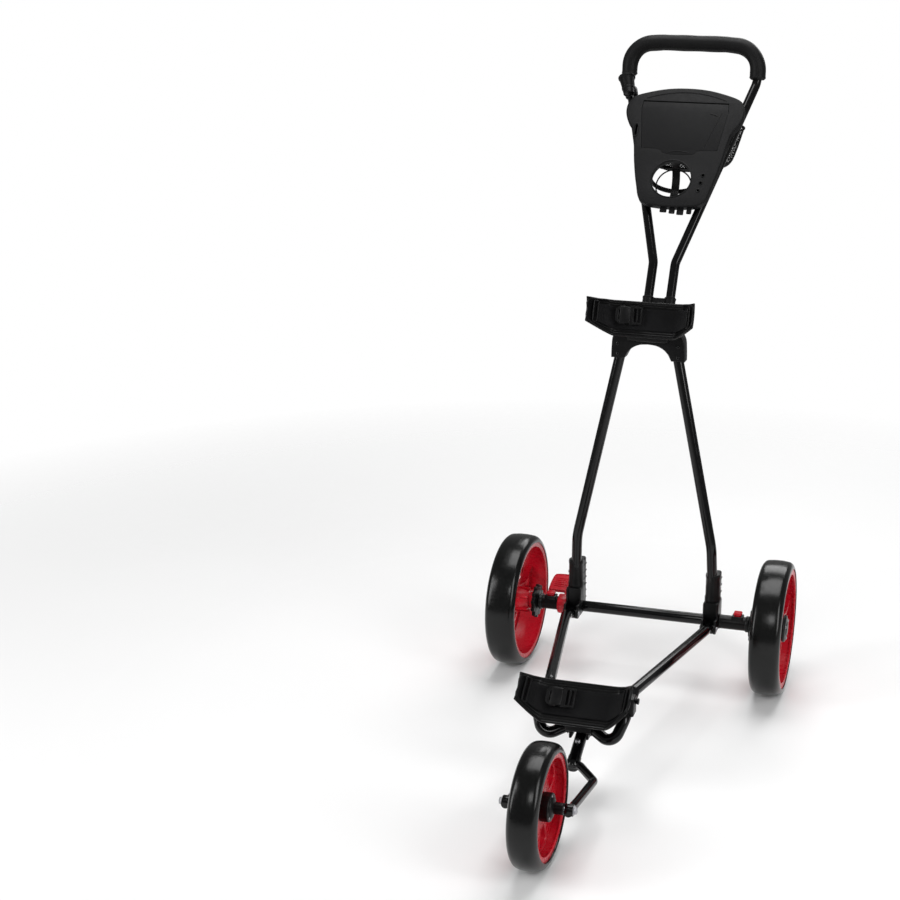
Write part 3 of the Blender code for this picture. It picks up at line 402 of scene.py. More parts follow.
def lathe(profile, sides=64, axis="X", at=ORIGIN, turn=None, closed=False):
    """Revolves (radius, height) points; an open profile ends on the axis or stays open."""
    bm = bmesh.new()
    rings = [[bm.verts.new((radius * math.cos(a), radius * math.sin(a), height))
              for a in (round_angles(sides) if radius else (0,))] for radius, height in profile]
    bridge_rings(bm, rings, closed)
    mesh = mesh_of(bm)
    mesh.transform(TURNS[axis])
    return placed(mesh, at, turn)


def rod(radius, length, at=ORIGIN, edge=0.6, axis="X", turn=None, sides=40):
    """A solid cylinder whose rims are rounded."""
    half, inner = length / 2, radius - edge
    arc = [math.pi / 8 * i for i in range(1, 4)]
    profile = [(0, -half), (inner, -half)]
    profile += [(inner + edge * math.sin(a), -half + edge - edge * math.cos(a)) for a in arc]
    profile += [(radius, -half + edge), (radius, half - edge)]
    profile += [(inner + edge * math.cos(a), half - edge + edge * math.sin(a)) for a in arc]
    return lathe(profile + [(inner, half), (0, half)], sides, axis, at, turn)


def ring(inner, outer, length, at=ORIGIN, edge=0.6, axis="X", turn=None, sides=56):
    half = length / 2
    right = [(outer, half - edge), (outer - edge * 0.3, half - edge * 0.3),
             (outer - edge, half), (inner + edge, half), (inner, half - edge)]
    profile = [(r, -x) for r, x in reversed(right)] + right
    return lathe(profile, sides, axis, at, turn, closed=True)


def rounded_path(points, radius, steps=10, most=0.49):
    """The points with each corner replaced by an arc; most limits its share of a stretch."""
    points = [Vector(p) for p in points]
    path = [points[0]]
    for before, corner, after in zip(points, points[1:], points[2:]):
        to_start, to_end = (before - corner).normalized(), (after - corner).normalized()
        half = to_start.angle(to_end) / 2
        reach = min(radius / math.tan(half), most * (before - corner).length,
                    most * (after - corner).length)
        bulge = reach * math.tan(half)
        middle = corner + (to_start + to_end).normalized() * (bulge / math.sin(half))
        start = (corner + to_start * reach - middle).normalized()
        end = (corner + to_end * reach - middle).normalized()
        path += [middle + start.slerp(end, i / steps) * bulge for i in range(steps + 1)]
    return path + [points[-1]]


def smooth_line(points, steps=6, closed=False):
    """Catmull-Rom points through 2D or 3D points."""
    points = [Vector(p) for p in points]
    count = len(points)
    found = []
    for i in range(count if closed else count - 1):
        a, b, c, d = [points[(i + k) % count] if closed else
                      points[min(max(i + k, 0), count - 1)] for k in (-1, 0, 1, 2)]
        for t in (j / steps for j in range(steps)):
            found.append(0.5 * (2 * b + (c - a) * t + (2 * a - 5 * b + 4 * c - d) * t * t
                                + (3 * b - a - 3 * c + d) * t ** 3))
    return found if closed else found + [points[-1]]


def smooth_outline(points, steps, closed=True):
    return [tuple(p) for p in smooth_line(points, steps, closed)]


def sweep(path, radius, sides, flat=1.0, closed=False):
    """A round bar along a path; radius may change, and flat squashes one way."""
    count = len(path)
    around = path[-1:] + path + path[:1] if closed else path[:1] + path + path[-1:]
    ahead = [(b - a).normalized() for a, b in zip(around, around[2:])]
    across = ahead[0].orthogonal().normalized()
    radii = radius if isinstance(radius, list) else [radius] * count
    bm = bmesh.new()
    rings = []
    for point, forward, reach in zip(path, ahead, radii):
        across = (across - forward * across.dot(forward)).normalized()
        other = forward.cross(across)
        rings.append([bm.verts.new(point + across * (reach * math.cos(a))
                                   + other * (reach * flat * math.sin(a)))
                      for a in round_angles(sides)])
    bridge_rings(bm, rings, closed)
    if not closed:
        bm.faces.new(rings[0][::-1])
        bm.faces.new(rings[-1])
    return mesh_of(bm)


def tube(points, radius, bend, steps, sides, most=0.49):
    return sweep(rounded_path(points, bend, steps, most), radius, sides)


def band(path, side, width, thickness):
    """A flat strap along a path; side is the direction of its width."""
    bm = bmesh.new()
    half = side * (width / 2)
    rings = []
    for point, before, after in zip(path, path[:1] + path, path[1:] + path[-1:]):
        out = (after - before).normalized().cross(side).normalized() * (thickness / 2)
        rings.append([bm.verts.new(point + offset)
                      for offset in (-half - out, half - out, half + out, out - half)])
    bridge_rings(bm, rings)
    bm.faces.new(rings[0][::-1])
    bm.faces.new(rings[-1])
    edges = [e for e in bm.edges if e.is_manifold and e.calc_face_angle(0) > 1.0]
    bmesh.ops.bevel(bm, geom=edges, offset=thickness * 0.22, segments=2, affect="EDGES")
    return mesh_of(bm)


def evaluated(obj):
    bpy.context.view_layer.update()
    graph = bpy.context.evaluated_depsgraph_get()
    mesh = bpy.data.meshes.new_from_object(obj.evaluated_get(graph))
    bm = bmesh.new()
    bm.from_mesh(mesh)
    bmesh.ops.remove_doubles(bm, verts=bm.verts[:], dist=WELD)
    bmesh.ops.recalc_face_normals(bm, faces=bm.faces[:])
    bm.to_mesh(mesh)
    bm.free()
    bpy.data.objects.remove(obj, do_unlink=True)
    return mesh


def temporary(data):
    obj = bpy.data.objects.new("temporary", data)
    bpy.context.scene.collection.objects.link(obj)
    return obj


def plate(outline, thickness, holes=(), edge=0.8, segments=2):
    """A flat outline in X and Y with holes, about z = 0, with rounded rims."""
    curve = bpy.data.curves.new("plate", "CURVE")
    curve.dimensions, curve.fill_mode = "2D", "BOTH"
    curve.extrude, curve.bevel_depth, curve.offset = thickness / 2 - edge, edge, -edge
    curve.bevel_resolution = segments
    for loop in (outline, *holes):
        spline = curve.splines.new("POLY")
        spline.points.add(len(loop) - 1)
        spline.use_cyclic_u = True
        for point, (x, y) in zip(spline.points, loop):
            point.co = (x, y, 0.0, 1.0)
    return evaluated(temporary(curve))


def shell_mesh(surface, across, along, thickness, edge):
    """surface(u, v) thickened backwards, with rounded rims."""
    bm = bmesh.new()
    rows = [[bm.verts.new(surface(i / across, j / along)) for j in range(along + 1)]
            for i in range(across + 1)]
    for a, b in zip(rows, rows[1:]):
        for j in range(along):
            bm.faces.new((a[j], b[j], b[j + 1], a[j + 1]))
    obj = temporary(mesh_of(bm, outward=False))
    thicken = obj.modifiers.new("thickness", "SOLIDIFY")
    thicken.thickness, thicken.offset = thickness, 1.0
    rounding = obj.modifiers.new("edge", "BEVEL")
    rounding.width, rounding.segments = edge, 2
    rounding.limit_method, rounding.angle_limit = "ANGLE", math.radians(50)
    return evaluated(obj)


def boolean(mesh, others, operation):
    base = temporary(mesh)
    tools = [temporary(other) for other in others]
    for tool in tools:
        step = base.modifiers.new("step", "BOOLEAN")
        step.operation, step.object = operation, tool
    made = evaluated(base)
    for tool in tools:
        bpy.data.objects.remove(tool, do_unlink=True)
    return made


def union(mesh, *others):
    return boolean(mesh, others, "UNION")


def cut(mesh, *others):
    return boolean(mesh, others, "DIFFERENCE")


def wall(points, width, low, high, edge):
    """A wall along a 2D line, standing from z = low to z = high."""
    points = [Vector(p) for p in points]
    left, right = [], []
    for point, before, after in zip(points, points[:1] + points, points[1:] + points[-1:]):
        ahead = (after - before).normalized()
        out = Vector((-ahead.y, ahead.x)) * (width / 2)
        left.append(tuple(point + out))
        right.append(tuple(point - out))
    return placed(plate(left + right[::-1], high - low, edge=edge), (0, 0, (low + high) / 2))


def screw_mesh(radius, at, direction, height):
    """A pan head with a round socket, facing along direction."""
    profile = [(0, -0.4), (radius * 0.96, -0.4), (radius, 0.0)]
    profile += [(radius * r, height * h) for r, h in (
        (1, 0.35), (0.94, 0.72), (0.78, 0.93), (0.48, 1), (0.44, 0.96), (0.40, 0.35), (0, 0.30))]
    return lathe(profile, 30, "Z", at, facing(direction))


def mesh_object(name, mesh, finish, smooth=38):
    obj = bpy.data.objects.new(name, mesh)
    bpy.context.scene.collection.objects.link(obj)
    mesh.materials.clear()
    mesh.materials.append(finish)
    mesh.shade_smooth()
    mesh.set_sharp_from_angle(angle=math.radians(smooth))
    return obj


def add(name, mesh, slot, body, node=None, smooth=38):
    """A piece from a shape; {} in its name makes the +X piece and then its mirror."""
    if "{}" in name:
        for side, one in {"right": mesh, "left": mirrored(mesh)}.items():
            add(name.format(side), one, slot, body.format(side), node and node.format(side),
                smooth)
        return None
    mesh.transform(TO_WORLD)
    obj = mesh_object(name, mesh, FINISH[slot], smooth)
    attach(obj, body)
    if node:
        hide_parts(node)
    return obj


def dress(node, what, mesh, slot, body, smooth=38):
    """A piece that replaces a CAD node and is named after it."""
    return add(f"{node}_{what}", mesh, slot, body, node, smooth)


# Wheels ------------------------
def tyre_mesh(radius, width, seat, centre):
    """Smooth foam tyre: a gently crowned tread, wide round shoulders and a seat on the rim."""
    half = width / 2
    side, shoulder, squash = half - 0.2, 15, 0.92
    right = [(radius, 0), (radius, half * 0.16), (radius - 0.3, half * 0.34),
             (radius - 1, half * 0.5)]
    for angle in (math.radians(84 - 7 * i) for i in range(1, 13)):
        right.append((radius - shoulder - 1.2 + shoulder * math.sin(angle),
                      side - shoulder * squash * (1 - math.cos(angle))))
    right += [(seat + 2.2, side - 0.4), (seat + 0.8, side - 1), (seat, side - 2.6)]
    left = [(r, -x) for r, x in reversed(right[1:])]
    return lathe(left + right, 160, "X", centre, closed=True)


def spoke_meshes(inner):
    """One spoke about +X of a plane: two edge walls, a pair of middle ribs and the web."""
    edge = [(22, 22.5), (40, 16.8), (60, 13.2), (80, 14.6), (100, 20), (inner + 1, 33.5)]
    line = smooth_outline(edge, 6, closed=False)
    other = [(x, -y) for x, y in line]
    hole = [(86, 0), (106, 12.5), (115, 15), (115, -15), (106, -12.5)]
    parts = [placed(plate(line + other[::-1], 4.6, [hole], 0.6), (0, 0, 12))]
    parts += [wall(one, 4, 3.5, 20.5, 1.1) for one in (line, other)]
    for side in SIDES:
        parts.append(wall([(26, side * 5.2), (55, side * 4.784), (84, side * 2.86)], 2.6, 10,
                          18.6, 0.7))
        parts.append(wall([(84, side * 2.4), (100, side * 12), (inner + 1, side * 21)], 2.4, 9.8,
                          18.6, 0.7))
    return parts


def rear_rim_mesh():
    """Deep barrel with rolled lips; the spokes are near +Z, the outboard side."""
    seat, half, inner = 129.8, 31, 123.2
    parts = [
        lathe([(seat, 4 - half), (seat + 1.2, 1 - half), (seat, -half - 0.2),
               (inner - 1, -half - 0.4), (inner - 3.6, 1 - half), (inner - 3.6, 3 - half),
               (inner, 5 - half), (inner, 0), (inner - 1, half - 6), (inner - 5.4, half - 3.6),
               (inner - 6.2, half - 0.6), (inner - 5, half + 0.4), (seat, half + 0.2),
               (seat + 1.2, half - 1), (seat, half - 4)], 144, "Z", closed=True),
        lathe([(SPINDLE, -40), (17, -40), (18, -38.8), (18.5, -4), (30, 0), (31, 2), (31, 19.5),
               (30, 21.2), (SPINDLE, 21.2)], 72, "Z", closed=True),
        lathe([(18, -30), (20.5, -30), (21.5, -29), (29, 1), (18, 1)], 72, "Z", closed=True)]
    for i in range(3):
        parts += [placed(mesh, turn=turned(90 + 120 * i)) for mesh in spoke_meshes(inner)]
    parts += [placed(box((12, 2, 30), (23.5, 0, -14), 0.5), turn=turned(60 * i))
              for i in range(6)]
    return joined(*parts)


def toothed_disc(radius, teeth, thickness, bore):
    tooth = ((0.08, 4.5), (0.2, 4.2), (0.3, 0.8), (0.38, 0))  # share of a pitch, depth
    tooth += tuple((1 - part, depth) for part, depth in reversed(tooth))
    outline = []
    for i in range(teeth):
        for part, depth in tooth:
            angle = math.tau * (i + part) / teeth
            outline.append(((radius - depth) * math.cos(angle),
                            (radius - depth) * math.sin(angle)))
    return plate(outline, thickness, [circle((0, 0), bore, 32)], 0.9)


def make_rear_wheels():
    dress("rear_tyre_{}", "foam", tyre_mesh(REAR_RADIUS, REAR_WIDTH, 130, REAR_WHEEL), TYRE,
          "rear_wheel_{}")
    rim = rear_rim_mesh()
    rim.transform(TURNS["X"])
    dress("rear_rim_{}", "spoked", placed(rim, REAR_WHEEL), RED, "rear_wheel_{}", 32)
    cap = lathe([(0, 31.2), (14, 31.2), (14.8, 30.6), (15.2, 29.6), (18.2, 29.6), (25, 28.8),
                 (28, 27.4), (29.3, 25.2), (29.5, 23), (28.5, 21.9), (0, 21.9)], 72, "X",
                REAR_WHEEL)
    dress("hub_cap_{}", "cover", cap, PLASTIC, "rear_wheel_{}")
    screws = [screw_mesh(3.2, REAR_WHEEL + turned(-60 - 120 * i, "X") @ Vector((29.1, 0, 21.5)),
                         (1, 0, 0), 1.984) for i in range(3)]
    add("hub_cap_{}_screws", joined(*screws), ZINC, "rear_wheel_{}")
    disc = toothed_disc(36.8, 12, 8, SPINDLE)
    disc.transform(TURNS["X"])
    ribs = [placed(box((8.6, 2.2, 13), (0, 0, 25), 0.5), turn=turned(60 * i, "X"))
            for i in range(6)]
    disc = joined(disc, ring(SPINDLE, 20, 8.6), *ribs)
    dress("brake_disc_{}", "toothed", placed(disc, REAR_WHEEL - Vector((44.8, 0, 0))), PLASTIC,
          "rear_wheel_{}")
    dress("wheel_pin_{}", "rod", rod(6.2, 128, REAR_WHEEL - Vector((42, 0, 0))), ZINC,
          "rear_wheel_{}")


def front_rim_mesh():
    seat, half, inner = 93.4, 24.5, 86.8
    lip = [(inner, half - 5), (inner - 2.6, half - 3), (inner - 2.8, half - 1.2),
           (inner - 1, half), (seat - 0.6, half), (seat + 1, half - 0.8), (seat, half - 3)]
    barrel = lathe([(r, -x) for r, x in reversed(lip)] + lip, 120, "Z", closed=True)
    side = [(40, 8.5), (44, 12), (62, 19), (72, 19), (77, 12)]
    shape = [Vector((x, -y, 0)) for x, y in side] + [Vector((78.5, 0, 0))]
    shape += [Vector((x, y, 0)) for x, y in reversed(side)]
    windows = [smooth_line([turned(60 * i) @ p for p in shape], 4, closed=True)
               for i in range(6)]
    disc = plate(circle((0, 0), inner + 1.5, 96), 15,
                 [circle((0, 0), 19.4), *([p.xy for p in window] for window in windows)], 1.6, 3)
    lips = [sweep([p + Vector((0, 0, z)) for p in window], 1.4, 8, closed=True)
            for window in windows for z in (7.2, -7.2)]
    return joined(barrel, disc, *lips)


def make_front_wheel():
    dress("front_tyre", "foam", tyre_mesh(FRONT_RADIUS, FRONT_WIDTH, 93.6, FRONT_AXLE), TYRE,
          "front_wheel")
    rim = front_rim_mesh()
    rim.transform(TURNS["X"])
    dress("front_rim", "windowed", placed(rim, FRONT_AXLE), RED, "front_wheel", 32)
    half = [(4.6, 46.2), (9.8, 46.2), (10.5, 45.4), (10.5, 30), (12.4, 29), (17.6, 27.2),
            (18.8, 25.6), (19.6, 24.6), (24.2, 24.2), (25.3, 23), (25.5, 13), (25, 8.4),
            (19.2, 8)]
    hub = lathe(half + [(r, -x) for r, x in reversed(half)], 72, "X", FRONT_AXLE, closed=True)
    dress("front_hub", "body", hub, PLASTIC, "front_wheel")
    screws = [screw_mesh(2.2, FRONT_AXLE + turned(-120 * i, "X") @ Vector((side * 24.9, 0, 21.2)),
                         (side, 0, 0), 1.364) for side in SIDES for i in range(3)]
    add("front_hub_screws", joined(*screws), ZINC, "front_wheel")


# Rear axle, main frame and yoke ---
def make_hinge_blocks():
    x = HINGE.x
    body = union(
        box((2 * BLOCK_HALF, 48, 64), (x, 0, 161), 4.2),
        rod(11, 2 * BLOCK_HALF, HINGE, 1.4),
        box((2 * BLOCK_HALF, 30, 30), (x, -27.5, 146), 2.2),
        lathe([(0, 180), (17.2, 180), (17.2, 201), (16, 204), (15.8, 244), (16.4, 245.2),
               (16.6, 250), (16, 253), (14.6, 254), (0, 254)], 56, "Z", (x, 0, 0)),
        box((22, 30, 118), (x, 32, 187), 5.2, segments=4))
    slots = [box((23.4, 80, 200), (x, -61.2, 150), 0), box((23.4, 80, 60), (x - 3, -61.2, 194), 0)]
    dress("hinge_block_{}", "casting", cut(body, *slots), PLASTIC, "frame", 30)
    ribs = [box((1.6, 27, 3), (x + side * 11.2, 32, z), 0.6)
            for side in SIDES for z in range(150, 231, 16)]
    ribs += [box((3, 1.6, 44), (x + side * 14.6, 24, 158), 0.6) for side in SIDES]
    add("hinge_ribs_{}_trim", joined(*ribs), PLASTIC, "frame")
    dress("fold_pin_{}", "rod", rod(3, 37.5, HINGE), ZINC, "frame")
    heads = [screw_mesh(5.2, HINGE + Vector((side * 17.1, 0, 0)), (side, 0, 0), 2.4)
             for side in SIDES]
    add("fold_pin_{}_heads", joined(*heads), ZINC, "frame")
    screws = [screw_mesh(4.6, (x, 46.7, z), (0, 1, 0), 3) for z in (150, 226)]
    screws.append(screw_mesh(3.4, (x + 15.7, 0, 224), (1, 0, 0), 2))
    dress("hinge_screw_{}", "heads", joined(*screws), ZINC, "frame")


def make_rear_axle():
    start, end = HINGE.x + BLOCK_HALF, 238
    tube_length = 2 * (HINGE.x - BLOCK_HALF) + 4
    dress("rear_cross_tube", "bar", rod(CROSS_TUBE, tube_length, (0, 0, AXLE_Z)), STEEL, "frame")
    make_hinge_blocks()
    dress("main_tube_{}", "bar", tube(MAIN_TUBE, TUBE, 160, 24, 40), STEEL, "frame")
    sleeve = lathe([(6.7, start), (SLEEVE + 1, start), (SLEEVE + 1.6, start + 0.8),
                    (SLEEVE + 0.1, start + 1.4), (SLEEVE, start + 1.6), (SLEEVE, end - 10),
                    (16.9, end - 9.6), (17.5, end - 8.8), (17.5, end - 3.2), (16.9, end - 2.6),
                    (SLEEVE, end - 2.2), (SLEEVE - 0.6, end), (6.7, end)], 64, "X",
                   (0, 0, AXLE_Z), closed=True)
    above = Vector((0, 0, 18.5))
    pocket = box((14.8, 12.8, 20), TAB + above, 0)
    rim = cut(box((25, 22, 10), TAB + Vector((0, 0, 13)), 2), box((16, 14, 30), TAB + above, 0),
              rod(10, 60, TAB))
    dress("axle_sleeve_{}", "collar", joined(cut(sleeve, pocket), rim), PLASTIC, "frame")
    grips = [box((15, 1.4, 1.4), TAB + Vector((0, 2.5 * i, 26)), 0.5) for i in range(-2, 3)]
    tab = union(box((14, 12, 12), TAB + Vector((0, 0, 19)), 0.8),
                box((19, 17, 5.2), TAB + Vector((0, 0, 23.5)), 1.8, taper=(0.9, 0.88)), *grips)
    dress("release_tab_{}", "button", tab, RED, "release_tab_{}")


def make_brake_pedal():
    foot_at = Vector((-203, 80, AXLE_Z + 14.5))
    corners = [(-29, -22), (-23, -30), (23, -30), (29, -22), (29, 20), (19, 30), (-19, 30),
               (-29, 20)]
    outline = smooth_outline(corners, 5)
    foot = placed(plate(outline, 5.6, edge=1.6, segments=3), foot_at, PEDAL_TILT)
    lip = sweep([PEDAL_TILT @ Vector((x * 0.93, y * 0.93, 3)) + foot_at for x, y in outline],
                1.3, 8, closed=True)
    ribs = [box((2.6, 46, 6), (x, -2, -4.6), 0.8) for x in (-20, -7, 7, 20)]
    ribs += [box((40, 2.6, 2), (0, 7 * i, 3.1), 0.9) for i in range(-2, 3)]
    ribs = [placed(rib, foot_at, PEDAL_TILT) for rib in ribs]
    bore = SLEEVE + 0.4
    arm = union(ring(bore, 21.5, 20, PEDAL_AT, 1.2),
                box((16, 52, 10), (-183, 44, AXLE_Z + 4), 1.6, PEDAL_TILT),
                box((6, 40, 18), (-183, 42, AXLE_Z - 2), 1.2, PEDAL_TILT), foot)
    arm = cut(arm, rod(bore, 50, PEDAL_AT, sides=64))
    dress("brake_pedal", "plate", joined(arm, lip, *ribs), RED, "brake_pedal", 32)


def make_yoke():
    inner_foot = (49.5, 719)
    right = [inner_foot] + smooth_outline(YOKE_SIDE, 6, closed=False)
    arch = smooth_outline(YOKE_ARCH, 6, closed=False)
    outline = right + [(-x, z) for x, z in reversed(right)]
    outline += [(-x, z) for x, z in reversed(arch[1:])] + arch
    shell = placed(plate(outline, 30, edge=2.4, segments=3), (0, -7, 0), turned(90, "X"))
    pieces = [box((89, 50, 40), (0, -5, 777.5), 5.2, segments=4)]
    for x in (-40.5, 40.5):
        pieces.append(rod(17.5, 8, (x, HANDLE_PIVOT.y, HANDLE_PIVOT.z), 1.2, sides=56))
        pieces.append(box((8, 52, 30), (x, 27, 779), 1.4))
    dress("upper_yoke", "casting", union(shell, *pieces), PLASTIC, "frame", 30)
    screw_places = [(side * 64, z) for side in SIDES for z in (728, 750)]
    bosses = [ring(3, 5.8, 3, (x, 8.6, z), axis="Y", sides=32) for x, z in screw_places]
    add("upper_yoke_bosses", joined(*bosses), PLASTIC, "frame")
    screws = [screw_mesh(3.6, (x, y, z), (0, front, 0), 2.2)
              for x, z in screw_places for y, front in ((9, 1), (-21.8, -1))]
    add("upper_yoke_screws", joined(*screws), STEEL, "frame")
    outside = HANDLE_PIVOT + Vector((45.2, 0, 0))
    head = lathe([(0, 0), (7.5, 0), (7.5, 3.6), (6.8, 4.6), (5.8, 5), (0, 5)], 6, "X", outside)
    pin = rod(4, 106, HANDLE_PIVOT - Vector((5, 0, 0)))
    dress("handle_pin", "bolt", joined(pin, ring(4.1, 9.2, 1.2, outside, 0.3), head), ZINC,
          "frame", 28)


def make_lock_knob():
    lobes = [((24 + 11.5 * math.cos(3 * a)) * math.sin(a), (24 + 11.5 * math.cos(3 * a))
              * math.cos(a)) for a in round_angles(96)]
    knob = plate(lobes, 16, edge=4.2, segments=4)
    knob.transform(TURNS["X"])
    boss = lathe([(4.4, 4), (12.6, 4), (13, 3.4), (13.6, -4), (4.4, -4)], 48, "X",
                 (-49.4, 0, 0), closed=True)
    knob = joined(placed(knob, (-59, 0, 0)), boss, ring(10.8, 13.6, 2.4, (-66.8, 0, 0)))
    dress("lock_knob", "lobes", placed(knob, HANDLE_PIVOT), RED, "lock_knob", 34)
    cap = lathe([(0, -71.2), (6, -71), (9.2, -70.3), (10.6, -69.2), (10.8, -67.6), (0, -67.6)],
                48, "X", HANDLE_PIVOT)
    dress("knob_cap", "disc", cap, PLASTIC, "lock_knob")


# Bag saddles and straps --------
def saddle_point(saddle, across, along, lift=0.0):
    """As in the CAD: a flat middle that sweeps forward into two arms."""
    def swept(start):
        return max(0.0, (abs(across) - start) / (1 - start)) ** 1.25
    top = saddle["top"].lerp(saddle["top_end"], swept(TOP_ARM))
    bottom = saddle["bottom"].lerp(saddle["bottom_end"], swept(BOTTOM_ARM))
    down = (bottom - top).normalized()
    dish = 6 * (1 - (2 * along - 1) ** 2)
    point = top.lerp(bottom, along) + Vector((0, down.z, -down.y)) * (lift - dish)
    return Vector((across * saddle["half_width"], point.y, point.z))


def saddle_rim(saddle):
    """The closed bar round a saddle's sheet, with round corners."""
    inset, corner, steps = 0.018, 0.12, 40
    half = [(corner + (1 - 2 * corner) * i / steps, inset) for i in range(steps + 1)]
    half += [(1 - corner / 3, 0.06), (1, 0.16), (1, 0.5), (1, 0.84), (1 - corner / 3, 0.94)]
    line = half + [(1 - u, 1 - v) for u, v in half]
    points = [saddle_point(saddle, 2 * u - 1, v, 2) for u, v in line]
    return sweep(smooth_line(points, 3, closed=True), 2.7, 10, closed=True)


def make_strap(name, saddle, body):
    """Webbing across the saddle, with its keepers and stitching."""
    def surface(u, v, lift=6.6):
        across = 0.875 * (2 * u - 1)
        ripple = 0.5 * math.sin(19 * u + 2 * v) * math.sin(math.pi * u)
        return saddle_point(saddle, across, 0.18 + 0.62 * v, lift + ripple)
    webbing = dress(name + "_strap", "webbing", shell_mesh(surface, 72, 8, 1.6, 0.5), WEBBING,
                    body)
    stitches = [sweep([surface(u, v, 6.9), surface(u, v + 0.03, 7.6), surface(u, v + 0.06, 6.9)],
                      0.35, 6)
                for u in (0.045, 0.06, 0.4, 0.415) for v in (0.12 + 0.76 * i / 9
                                                             for i in range(9))]
    seams = add(name + "_strap_stitches", joined(*stitches), WEBBING, body)
    keepers = []
    for across in (-0.885, 0.885):
        corners = [saddle_point(saddle, across + dx, v, 6.2)
                   for dx, v in ((-0.03, 0.12), (0.03, 0.12), (0.03, 0.86), (-0.03, 0.86))]
        start = corners[0].lerp(corners[1], 0.5)
        loop = rounded_path([start, *corners[1:], corners[0], start], 2.5, 5)[:-1]
        keepers.append(sweep(loop, 2.2, 12, closed=True))
    add(name + "_strap_keepers", joined(*keepers), PLASTIC, body)
    width = (surface(0.5, 0.0) - surface(0.5, 1.0)).length * MM
    length = length_of([surface(i / 60, 0.5) for i in range(61)]) * MM


def make_buckle(name, saddle, body):
    """A side-release buckle: a ladder for the webbing, a body and a tongue."""
    rise = saddle_point(saddle, 0, 0.1) - saddle_point(saddle, 0, 0.9)
    upright = Matrix.Rotation(math.radians(90) - math.atan2(rise.y, rise.z), 3, "X")
    ladder = [(2, -15), (22, -14), (22, 14), (2, 15)]
    slots = [[(x, -11.2), (x + 4, -11.2), (x + 4, 11.2), (x, 11.2)] for x in (8.5, 15.2)]
    tongue = [(-22, -9), (-15, -14.5), (-6, -15), (-6, -11), (-13.5, -10), (-16.5, -6)]
    tongue += [(x, -y) for x, y in reversed(tongue)]
    parts = [plate(ladder, 4, slots), box((18, 27, 7), (-6, 0, 0), 1.8),
             plate(tongue, 5.6, edge=1.2), box((8, 5, 5.6), (-12, 0, 0))]
    enlarged = upright @ Matrix.Diagonal((1.27, 1.27, 1.0))
    buckle = placed(joined(*parts), saddle_point(saddle, -0.3, 0.4, 13.6), enlarged)
    dress(name + "_buckle", "side_release", buckle, PLASTIC, body)


def make_saddles():
    clamp_x = 84.5
    seats = {
        "upper": ("frame", [box((60, 20, 26), (0, -41, 790), 2)]),
        "lower": ("lower_frame", [box((176, 50, 12), (0, -512, 184), 2.6)] + [
            box((30, 26, 36), (side * clamp_x, -500, 171), 2.4) for side in SIDES])}
    for name, (body, seat) in seats.items():
        saddle = SADDLES[name]
        sheet = shell_mesh(lambda u, v, s=saddle: saddle_point(s, 2 * u - 1, v, 4), 64, 16, 4,
                           1.2)
        ribs = [sweep([saddle_point(saddle, 1.8 * i / 60 - 0.9, v, 4.2) for i in range(61)],
                      1.1, 8) for v in (0.055, 0.115, 0.865, 0.93)]
        ribs += [sweep([saddle_point(saddle, across, 0.06 + 0.88 * i / 12, -1)
                        for i in range(13)], 1.6, 8) for across in (-0.55, -0.25, 0.25, 0.55)]
        dress(name + "_saddle", "shell", joined(union(sheet, *seat), saddle_rim(saddle), *ribs),
              PLASTIC, body, 32)
        make_strap(name, saddle, body)
        make_buckle(name, saddle, body)
    bolts = [screw_mesh(4, (side * clamp_x, -487.4, 171), (0, 1, 0), 2.4) for side in SIDES]
    bolts += [screw_mesh(3.4, (x, -524, 190), (0, 0, 1), 2) for x in (-30, 30)]
    add("lower_saddle_screws", joined(*bolts), STEEL, "lower_frame")
    stud = lathe([(0, -3.6), (4.8, -3.6), (5.2, 1), (6.2, 1.6), (6.2, 2.8), (5, 3.6), (0, 3.8)],
                 36, "X", (103.5, -500, 181))
    dress("saddle_stud_{}", "button", stud, PLASTIC, "lower_frame")


# Lower frame and fork ----------
def make_lower_frame():
    bar = union(tube(LOWER_TUBE, TUBE, 20, 10, 40), rod(10.6, 21.4, HINGE, 1.2))
    dress("lower_tube_{}", "bar", bar, STEEL, "lower_frame")
    head = union(box((52, 32, 24), (0, -524, 133), 3.6, segments=4),
                 *[box((5, 56, 26), (side * 16.5, -506, 118), 1.4) for side in SIDES])
    collars = []
    for side in SIDES:
        low, high = Vector((side * 30, -526.5, 121.6)), Vector((side * 24.5, -523.5, 125))
        collars.append(sweep([low, low.lerp(high, 0.5), high], 12.6, 32))
    dress("fork_head", "casting", joined(head, *collars), PLASTIC, "lower_frame", 32)
    nut = lathe([(0, -1.6), (5.5, -1.6), (5.5, 0.8), (4.6, 1.6), (0, 1.6)], 6, "X",
                FORK_PIVOT + Vector((21, 0, 0)))
    head = screw_mesh(5.2, FORK_PIVOT - Vector((19, 0, 0)), (-1, 0, 0), 2.6)
    dress("fork_pin", "bolt", joined(rod(3, 43, FORK_PIVOT), nut, head), ZINC, "lower_frame", 28)


